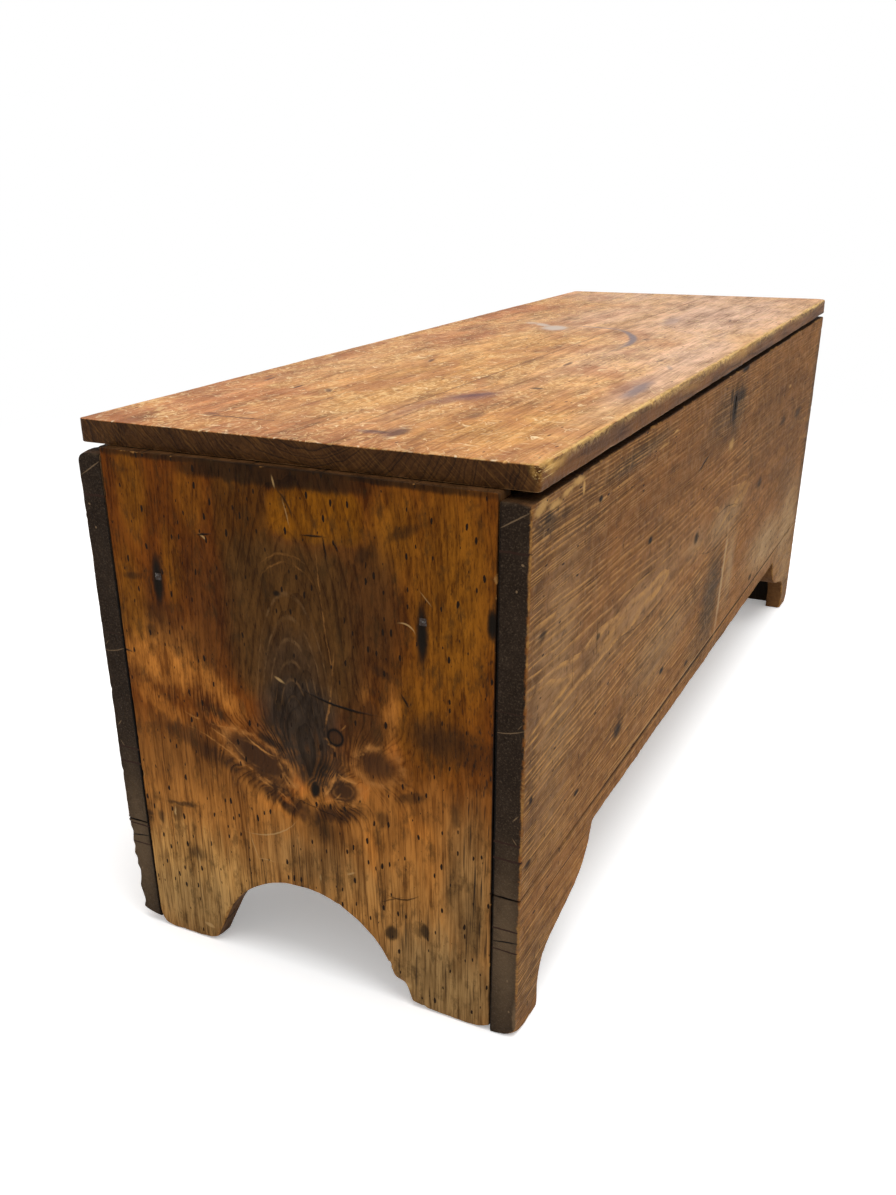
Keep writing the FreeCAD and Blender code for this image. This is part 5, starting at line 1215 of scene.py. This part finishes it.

# %% [markdown]
# ## The lid
#
# The lid has lost its finish to use. It is golden and clean, sanded by sleeves and scrubbing,
# with a web of fine pale scratches and a few stains that soaked in. The greyer, pinker tone towards
# the far end and along the front is painted sheen. The front arris is chewed down to yellow bare wood.

# %% What has happened to the lid
LID_TINTS = [
    ("#b57447", [(110, 345, 170, 80, 0, 0.7, 12, 0.85), (40, 200, 60, 190, 0, 0.7, 9, 0.55),
                 (880, 385, 330, 40, 0, 0.7, 10, 0.9), (560, 335, 150, 34, 0, 0.7, 10, 0.6),
                 (1000, 330, 130, 30, 5, 0.7, 9, 0.4), (150, 110, 60, 22, 0, 0.6, 8, 0.5)]),
    ("#c08a48", [(120, 70, 150, 75, 0, 0.7, 10, 0.9), (330, 230, 220, 80, 0, 0.7, 12, 0.8),
                 (560, 240, 130, 66, 0, 0.7, 12, 0.7), (650, 75, 46, 26, -20, 0.6, 8, 0.7),
                 (980, 265, 60, 26, 0, 0.6, 8, 0.5), (420, 80, 120, 34, 0, 0.7, 9, 0.5)]),
    # Pale pinkish patches at the far end and along the front, in this row and the next: painted sheen.
    ("#c9a792", [(960, 95, 280, 110, 0, 0.7, 14, 0.85), (1150, 210, 110, 180, 0, 0.7, 12, 0.75),
                 (900, 230, 180, 60, 0, 0.7, 12, 0.6), (610, 44, 170, 28, 0, 0.7, 9, 0.8)]),
    ("#cdaa92", [(440, 20, 240, 24, 0, 0.6, 6, 0.65), (760, 60, 120, 40, 0, 0.6, 9, 0.5),
                 (500, 100, 110, 50, 0, 0.7, 9, 0.5)]),
    ("#a2673c", [(14, 220, 46, 200, 0, 0.6, 8, 0.7), (215, 132, 70, 34, -14, 0.7, 8, 0.6),
                 (600, 335, 110, 30, 3, 0.7, 8, 0.6), (330, 392, 200, 20, 0, 0.6, 6, 0.6)]),
    ("#8f5c34", [(450, 160, 60, 6, 0, 0.6, 5, 0.5), (600, 318, 110, 9, 2, 0.6, 6, 0.6),
                 (420, 285, 30, 5, 16, 0.5, 4, 0.6), (800, 404, 200, 6, 0, 0.6, 4, 0.6),
                 (250, 375, 60, 5, 0, 0.6, 4, 0.5), (620, 112, 60, 8, -8, 0.6, 5, 0.45),
                 (870, 300, 60, 6, 6, 0.6, 5, 0.4), (150, 118, 26, 9, 0, 0.6, 6, 0.5),
                 (950, 350, 120, 8, 3, 0.6, 6, 0.4)]),
]
LID_SPOTS = [
    ("#7d5048", [(228, 152, 32, 15, -24, 0.6, 5, 0.8), (205, 162, 22, 8, 0, 0.6, 4, 0.6),
                 (175, 172, 60, 6, 0, 0.6, 4, 0.45), (330, 34, 60, 12, 2, 0.6, 5, 0.45)]),
    ("#5c3d40", [(236, 150, 20, 6, -34, 0.6, 4, 0.65), (66, 140, 20, 7, 4, 0.5, 3, 0.6),
                 (60, 154, 6, 16, 0, 0.4, 2, 0.6)]),
    ("#4f3226", [(290, 112, 4.5, 6, 0, 0.5, 1.5, 0.9), (62, 150, 3, 16, 0, 0.4, 1.5, 0.5),
                 (66, 136, 13, 6, 0, 0.4, 1.5, 0.6), (65, 290, 2.2, 34, 0, 0.5, 2, 0.65),
                 (71, 318, 3.5, 8, 0, 0.5, 2, 0.6), (212, 322, 9, 1.8, 4, 0.5, 1, 0.95),
                 (206, 284, 9, 3, 34, 0.5, 2, 0.75), (440, 137, 15, 2.4, 4, 0.5, 2, 0.85),
                 (409, 280, 9, 2.4, 16, 0.5, 2, 0.8), (498, 56, 9, 2.2, 0, 0.5, 2, 0.7),
                 (240, 372, 11, 1.8, 8, 0.5, 1, 0.8), (254, 383, 7, 1.6, 0, 0.5, 1, 0.7),
                 (878, 70, 14, 1.8, 10, 0.5, 2, 0.6), (656, 118, 8, 4, 0, 0.5, 2, 0.6),
                 (150, 110, 14, 5, 0, 0.6, 4, 0.5)]),
    ("#7b6c6c", [(320, 26, 44, 7, 2, 0.5, 4, 0.8), (332, 25, 12, 2.6, 0, 0.5, 1.5, 0.8),
                 (455, 34, 14, 2.4, 20, 0.5, 1.5, 0.5), line((572, 124), (735, 176), 9, 1.5, 0.95, -16),
                 line((728, 168), (750, 238), 7, 1.5, 0.7, -5),
                 line((590, 130), (705, 152), 5, 1.5, 0.6, -8), (845, 140, 50, 10, 8, 0.6, 6, 0.5)]),
    ("#c4b4a6", [(722, 258, 24, 15, 20, 0.4, 5, 0.9), (748, 284, 18, 7, 40, 0.5, 4, 0.8),
                 (762, 306, 12, 8, 30, 0.5, 3, 0.5)]),
    ("#7c4f2c",
     [line((20, 183), (760, 181), 2.4, 1.5, 0.8), line((760, 181), (1190, 178), 3.0, 2, 0.6)]),
]
LID_NICKS = [(9.6, 34, 1.8, 3.0, 20, 0.5, 1.0, 0.9), (10.4, 62, 3.4, 1.0, 40, 0.5, 1, 0.8),
             (9.4, 98, 1.4, 2.4, 0, 0.5, 1, 0.85), (10.0, 141, 3.2, 1.0, 30, 0.5, 1, 0.9),
             (9.4, 176, 1.4, 4.4, 0, 0.5, 1, 0.8), (10.8, 214, 3.0, 1.0, -24, 0.5, 1, 0.8),
             (9.6, 262, 1.6, 6.0, 0, 0.5, 1.5, 0.75), (9.6, 322, 1.6, 9.0, 0, 0.5, 2, 0.7),
             (10.4, 372, 3.0, 1.2, 10, 0.5, 1, 0.8)]
LID_ARRIS = [(120, -2.2, 60, 3.0, 0, 0.7, 3, 0.7), (215, -2.4, 36, 2.4, 0, 0.7, 3, 0.5),
             (330, -2.2, 80, 2.8, 0, 0.8, 3, 0.7), (520, -2.2, 110, 3.0, 0, 0.8, 3, 0.75),
             (760, -2.2, 130, 3.2, 0, 0.8, 3, 0.75), (1040, -2.0, 150, 3.6, 0, 0.8, 3, 0.8)]
# Where the top is calm, under the painted sheen, and where the front edge is rubbed bright.
LID_CALM_UNDER_SHEEN = [(960, 110, 300, 130, 0, 0.7, 14, 0.85), (430, 18, 260, 26, 0, 0.5, 6, 0.9)]
LID_BRIGHT = [(14, -2, 44, 7, 0, 0.5, 3, 1.0), (420, -2, 90, 3.0, 0, 0.6, 3, 0.4),
              (620, -2, 70, 3.0, 0, 0.6, 3, 0.45)]
LID_EDGE_CRACKS = [line((90, 5), (150, 5), 1.0, 1, 0.5)]


SAW_SLANT = math.radians(42.0)


def curly_scratches(tree, place, size, width, shift):
    """Thin curly lines: where a noise crosses its middle value it draws level lines, as on a map.

    The nearness to the line is one less the noise's offset from one half over the width. A second
    noise lets the lines show only in patches, so that they come in short pieces.
    """
    moved = add(tree, "VectorMath.ADD", place, (shift, shift, 0.0))
    noise = add(tree, "TexNoise",
                {"Vector": moved, "Scale": 1 / size, "Detail": 1.5, "Roughness": 0.5, "Distortion": 0.8})
    off = add(tree, "Math.SUBTRACT", noise, 0.5)
    near = add(tree, "MapRange", add(tree, "Math.ABSOLUTE", off), 0.0, width, 1.0, 0.0)
    patch = add(tree, "TexNoise", {"Vector": moved, "Scale": 1 / (size * 0.7), "Detail": 1.0})
    shown = add(tree, "MapRange", patch, 0.55, 0.60, 0.0, 0.85)
    return add(tree, "Math.MULTIPLY", near, shown)


def scrubbed(tree, place, warp, figure, colour, height, on_edge, off_face, **_):
    """Mottled wear and curly scratches on the top, and saw marks on the edges.

    The saw ran across the board on a slant, so its marks are a noise drawn out along a line that
    is turned by SAW_SLANT, nearly half a right angle, in the plane of the end.
    """
    small = add(tree, "VectorMath.DIVIDE", place, (15.0, 10.0, 9.0))
    wormy = add(tree, "TexNoise",
                {"Vector": small, "Scale": 1.0, "Detail": 4.0, "Roughness": 0.6, "Distortion": 2.4})
    large = add(tree, "VectorMath.DIVIDE", place, (130.0, 70.0, 60.0))
    broad = add(tree, "TexNoise",
                {"Vector": large, "Scale": 1.0, "Detail": 4.0, "Roughness": 0.55, "Distortion": 1.0})
    calm = marks(tree, place, warp, LID_CALM_UNDER_SHEEN)
    lively = add(tree, "Math.SUBTRACT", 1.0, add(tree, "Math.MAXIMUM", calm, off_face))
    often = add(tree, "MapRange", broad, 0.42, 0.58, 0.2)
    golden = add(tree, "MapRange", broad, 0.50, 0.64, 0.0, 0.4)
    ruddy = add(tree, "MapRange", broad, 0.47, 0.36, 0.0, 0.45)
    light = add(tree, "Math.MULTIPLY", add(tree, "MapRange", wormy, 0.51, 0.60, 0.0, 0.6), often)
    dark = add(tree, "MapRange", wormy, 0.46, 0.36, 0.0, 0.35)
    chewed = add(tree, "MapRange", wormy, 0.43, 0.50, 0.15, 1.15)
    long = curly_scratches(tree, place, 34.0, 0.012, 91.0)
    short = curly_scratches(tree, place, 19.0, 0.018, 370.0)
    scratch = add(tree, "Math.MAXIMUM", long, short)
    top = add(tree, "Math.SUBTRACT", 1.0, off_face)
    turned = add(tree, "VectorRotate", {"Vector": place, "Angle": SAW_SLANT}, rotation_type="X_AXIS")
    drawn = add(tree, "VectorMath.DIVIDE", turned, (40.0, 60.0, 1.5))
    saw = add(tree, "TexNoise", {"Vector": drawn, "Scale": 1.0, "Detail": 3.0, "Roughness": 0.6})
    sawn = add(tree, "MapRange", saw, 0.5, 0.66, 0.0, 0.4)
    mottles = [("#d29a56", golden), ("#a05e38", ruddy), ("#8c5a31", dark), ("#ecc68c", light)]
    mottled = [(hex_code, add(tree, "Math.MULTIPLY", mask, lively)) for hex_code, mask in mottles]
    colour = layered(tree, colour, mottled)
    colour = layered(tree, colour, [
        ("#f3d6a6", add(tree, "Math.MULTIPLY", scratch, top)),
        ("#ecd2ab", marks(tree, place, warp, LID_NICKS, depth=0.7)),
        ("#e0b770", add(tree, "Math.MULTIPLY", marks(tree, place, warp, LID_ARRIS, depth=5.0), chewed)),
        ("#7a5326", add(tree, "Math.MULTIPLY", sawn, on_edge)),
        ("#1c0f05",
         add(tree, "Math.MULTIPLY", figure.outputs["Late"], add(tree, "Math.MULTIPLY", on_edge, 0.7)))])
    bright = marks(tree, place, warp, LID_BRIGHT, depth=11.0)
    colour = layered(tree, colour,
                     [("#c8994e", add(tree, "Math.MULTIPLY", bright, figure.outputs["Strokes"])),
                      ("#e2be7c", add(tree, "Math.MULTIPLY", bright, figure.outputs["Hairs"]))])
    height = add(tree, "Math.MULTIPLY_ADD", wormy, 0.9, height)
    return colour, add(tree, "Math.MULTIPLY_ADD", scratch, -0.15, height)


lid_pine = old_pine("scrubbed pine", "top", (LEFT, FRONT, LID_HIGH[2]), grain_up=False,
                    rings=((190.0, 62.0), 0.01, 0.0, 4.4, 34.0), shares=(0.35, 1.3, 1.2, 1.7, 0.12, 0.15),
                    tint="#c39262", tints=LID_TINTS, spots=LID_SPOTS, cracks=LID_EDGE_CRACKS,
                    pits=((34.0, 12.0), 0.11, "#6b3f22"), bare="#e0b870", edge_tint="#6d441c",
                    sawn="#3b240f", span=(LID_LOW[0] - LEFT, LID_HIGH[0] - LEFT), relief=0.1,
                    inside="#a07d55", extra=scrubbed, gloss=0.09, rough=(0.48, 0.66))
lid.data.materials.append(lid_pine)

# %% [markdown]
# ## The right end and the bottom
#
# The right end is the same tree's next board, so it has the same colours, but it has its own
# figure: a single knot high up, and a water stain. The bottom never saw shellac. It is bare pine,
# greyed by what was kept on it.

# %% The right end and the bottom
RIGHT_TINTS = [
    ("#8a5a2b", [(200, 60, 300, 140, 0, 0.3, 10, 1.0), (60, 300, 40, 60, 0, 0.6, 8, 0.6)], "boxy"),
    ("#a37b4b", [(100, 50, 110, 50, 0, 0.6, 10, 0.7), (300, 110, 70, 40, 0, 0.7, 10, 0.4)]),
    ("#834c12", [(80, 420, 60, 50, 0, 0.7, 10, 0.7), (330, 330, 40, 120, 0, 0.7, 10, 0.7)]),
    ("#5a3a1c", [(150, 330, 40, 90, 0, 0.6, 9, 0.7), (250, 230, 50, 40, 0, 0.7, 9, 0.5),
                 (200, 468, 180, 7, 0, 0.4, 2, 0.9)]),
]
RIGHT_KNOTS = [(152, 300, 17, 24, 0, 0.85, 2.0, 14.0)]
RIGHT_HEART = [(152, 300, 17, 13, -10, 0.25, 1.5, 0.95), (150, 340, 22, 30, 0, 0.5, 3, 0.6)]
RIGHT_RIMS = [(152, 300, 21, 17, -10, 0.1, 1.5, 0.8), (152, 300, 11, 8, -10, 0.1, 1.5, 0.4)]
RIGHT_DIRT = [(70, 372, 4, 8, 0, 0.5, 1.5, 0.9), (330, 366, 5, 12, 0, 0.5, 1.5, 0.8),
              (260, 130, 12, 5, 0, 0.5, 3, 0.7), (90, 180, 7, 12, 0, 0.5, 3, 0.6),
              (310, 80, 8, 10, 0, 0.5, 3, 0.7), (350, 250, 5, 14, 0, 0.5, 3, 0.6)]
RIGHT_CRACKS = [line((230, 400), (236, 300), 1.2, 1.5, 0.7), line((100, 250), (140, 246), 1.6, 1.5, 0.9),
                line((320, 150), (280, 156), 1.2, 1, 0.7)]


def lone_knot(tree, place, warp, figure, colour, height, **_):
    """The right end's one knot, what is left of its bright rim, and its dirt."""
    rims = add(tree, "Math.MULTIPLY", marks(tree, place, warp, RIGHT_RIMS, "hollow"),
               figure.outputs["Strokes"])
    return layered(tree, colour, [("#3a2413", marks(tree, place, warp, RIGHT_HEART)), ("#96622f", rims),
                                  ("#1b130c", marks(tree, place, warp, RIGHT_DIRT))]), height


right_end_pine = old_pine("flat-sawn pine under brown shellac, far end", "right", (RIGHT, FRONT, 0.0),
                          rings=((150.0, 14.0), 0.18, 320.0, 4.4, 26.0),
                          shares=(0.5, 1.5, 1.5, 0.9, 0.36, 0.4), tint="#75440f", tints=RIGHT_TINTS,
                          cracks=RIGHT_CRACKS, pits=((8.0, 24.0), 0.17, "#20140b"), relief=0.12,
                          knots=RIGHT_KNOTS, extra=lone_knot, gloss=0.1, **UPRIGHT)
right_end.data.materials.append(right_end_pine)

END_THICK = round(box_mm("left_end_board")[1][0] - LEFT, 1)
bottom_pine = old_pine("bare pine, toned by age", "top", (LEFT, FRONT, box_mm("bottom_board")[1][2]),
                       grain_up=False, rings=((200.0, 80.0), 0.01, 0.0, 4.2, 30.0),
                       shares=(0.6, 1.4, 1.2, 1.0, 0.2, 0.3), tint="#a9855a",
                       tints=[("#8a6c48", [(600, 200, 300, 60, 0, 0.7, 12, 0.6)])],
                       spots=[("#2c2117", [(350, 150, 14, 9, 0, 0.6, 4, 0.6)])],
                       cracks=[line((200, 120), (520, 124), 1.2, 2, 0.7)],
                       pits=((30.0, 9.0), 0.12, "#4a3420"), bare="#b7945f", edge_tint="#8a6a45",
                       sawn="#6d5236", span=(END_THICK, LENGTH - END_THICK), relief=0.15,
                       inside="#8f7048", gloss=0.06, rough=(0.7, 0.85))
bottom.data.materials.append(bottom_pine)

# %% [markdown]
# ## Iron
#
# Cut nails, hinges and the lock have a brown-black skin of old rust. Rust is rough and hardly
# metallic, while rubbed places keep a dull grey gleam. A noise at the size of rust scales, 1 to
# 3 mm, mixes the two, with a broader one that leaves some areas cleaner than others.

# %% Iron and steel
def aged_iron(name, bright, rust, share, rough):
    """Bright metal and rust by a noise over a threshold that falls as rust's share rises."""
    material = new_material(name)
    tree = material.node_tree
    where = add(tree, "TexCoord")
    scale = add(tree, "TexNoise",
                {"Vector": where.outputs["Object"], "Scale": 0.9 / MM, "Detail": 4.0, "Roughness": 0.65})
    broad = add(tree, "TexNoise", {"Vector": where.outputs["Object"], "Scale": 0.12 / MM, "Detail": 2.0})
    both = add(tree, "Math.MULTIPLY_ADD", scale, 0.6, add(tree, "Math.MULTIPLY", broad, 0.4))
    rusty = add(tree, "MapRange", both, 0.62 - share * 0.25, 0.70 - share * 0.25)
    grit = add(tree, "TexNoise", {"Vector": where.outputs["Object"], "Scale": 2.5 / MM, "Detail": 2.0})
    tawny = add(tree, "MapRange", grit, 0.45, 0.7, 0.0, 0.5)
    scaly = add(tree, "Mix", {"Factor": tawny, "A": srgb(rust), "B": srgb("#6a4226")}, data_type="RGBA")
    colour = add(tree, "Mix", {"Factor": rusty, "A": srgb(bright), "B": scaly.outputs[2]}, data_type="RGBA")
    metal = add(tree, "MapRange", rusty, 0.0, 1.0, 0.85, 0.05)
    dull = add(tree, "MapRange", rusty, 0.0, 1.0, rough, 0.85)
    bump = add(tree, "Bump", {"Height": both, "Distance": MM * 0.4})
    skin = add(tree, "BsdfPrincipled",
               {"Base Color": colour.outputs[2], "Metallic": metal, "Roughness": dull, "Normal": bump})
    add(tree, "OutputMaterial", {"Surface": skin})
    return material


IRON = [
    (aged_iron("rolled iron, browned", "#5a534c", "#33241a", 0.7, 0.45),
     ["hinge_left_case_leaf", "hinge_left_lid_leaf", "hinge_right_case_leaf", "hinge_right_lid_leaf"]),
    (aged_iron("drawn iron wire", "#77706a", "#3b291d", 0.4, 0.35),
     ["hinge_left_pin", "hinge_right_pin"]),
    (aged_iron("sheet iron, dark", "#544f49", "#2c211a", 0.55, 0.42),
     ["lock_plate", "lock_cap", "lock_bolt", "lock_spring", "lock_key_pin", "lock_strike"]),
    (aged_iron("turned steel, dull", "#77716a", "#42322a", 0.4, 0.4),
     ["hinge_case_screws", "hinge_lid_screws", "lock_screws", "strike_screws"]),
    (aged_iron("cut iron, rubbed", "#5d5a56", "#15100c", 0.9, 0.35), ["left_end_nails"]),
    (aged_iron("cut iron, rusted", "#453f3a", "#221812", 0.8, 0.6),
     ["front_nails", "back_nails", "front_skirt_nails", "back_skirt_nails", "front_bottom_nails",
      "back_bottom_nails"]),
]
for material, names in IRON:
    for name in names:
        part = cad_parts[name]
        part.data.materials.clear()
        part.data.materials.append(material)
print(sum(len(names) for _, names in IRON), "metal nodes finished")
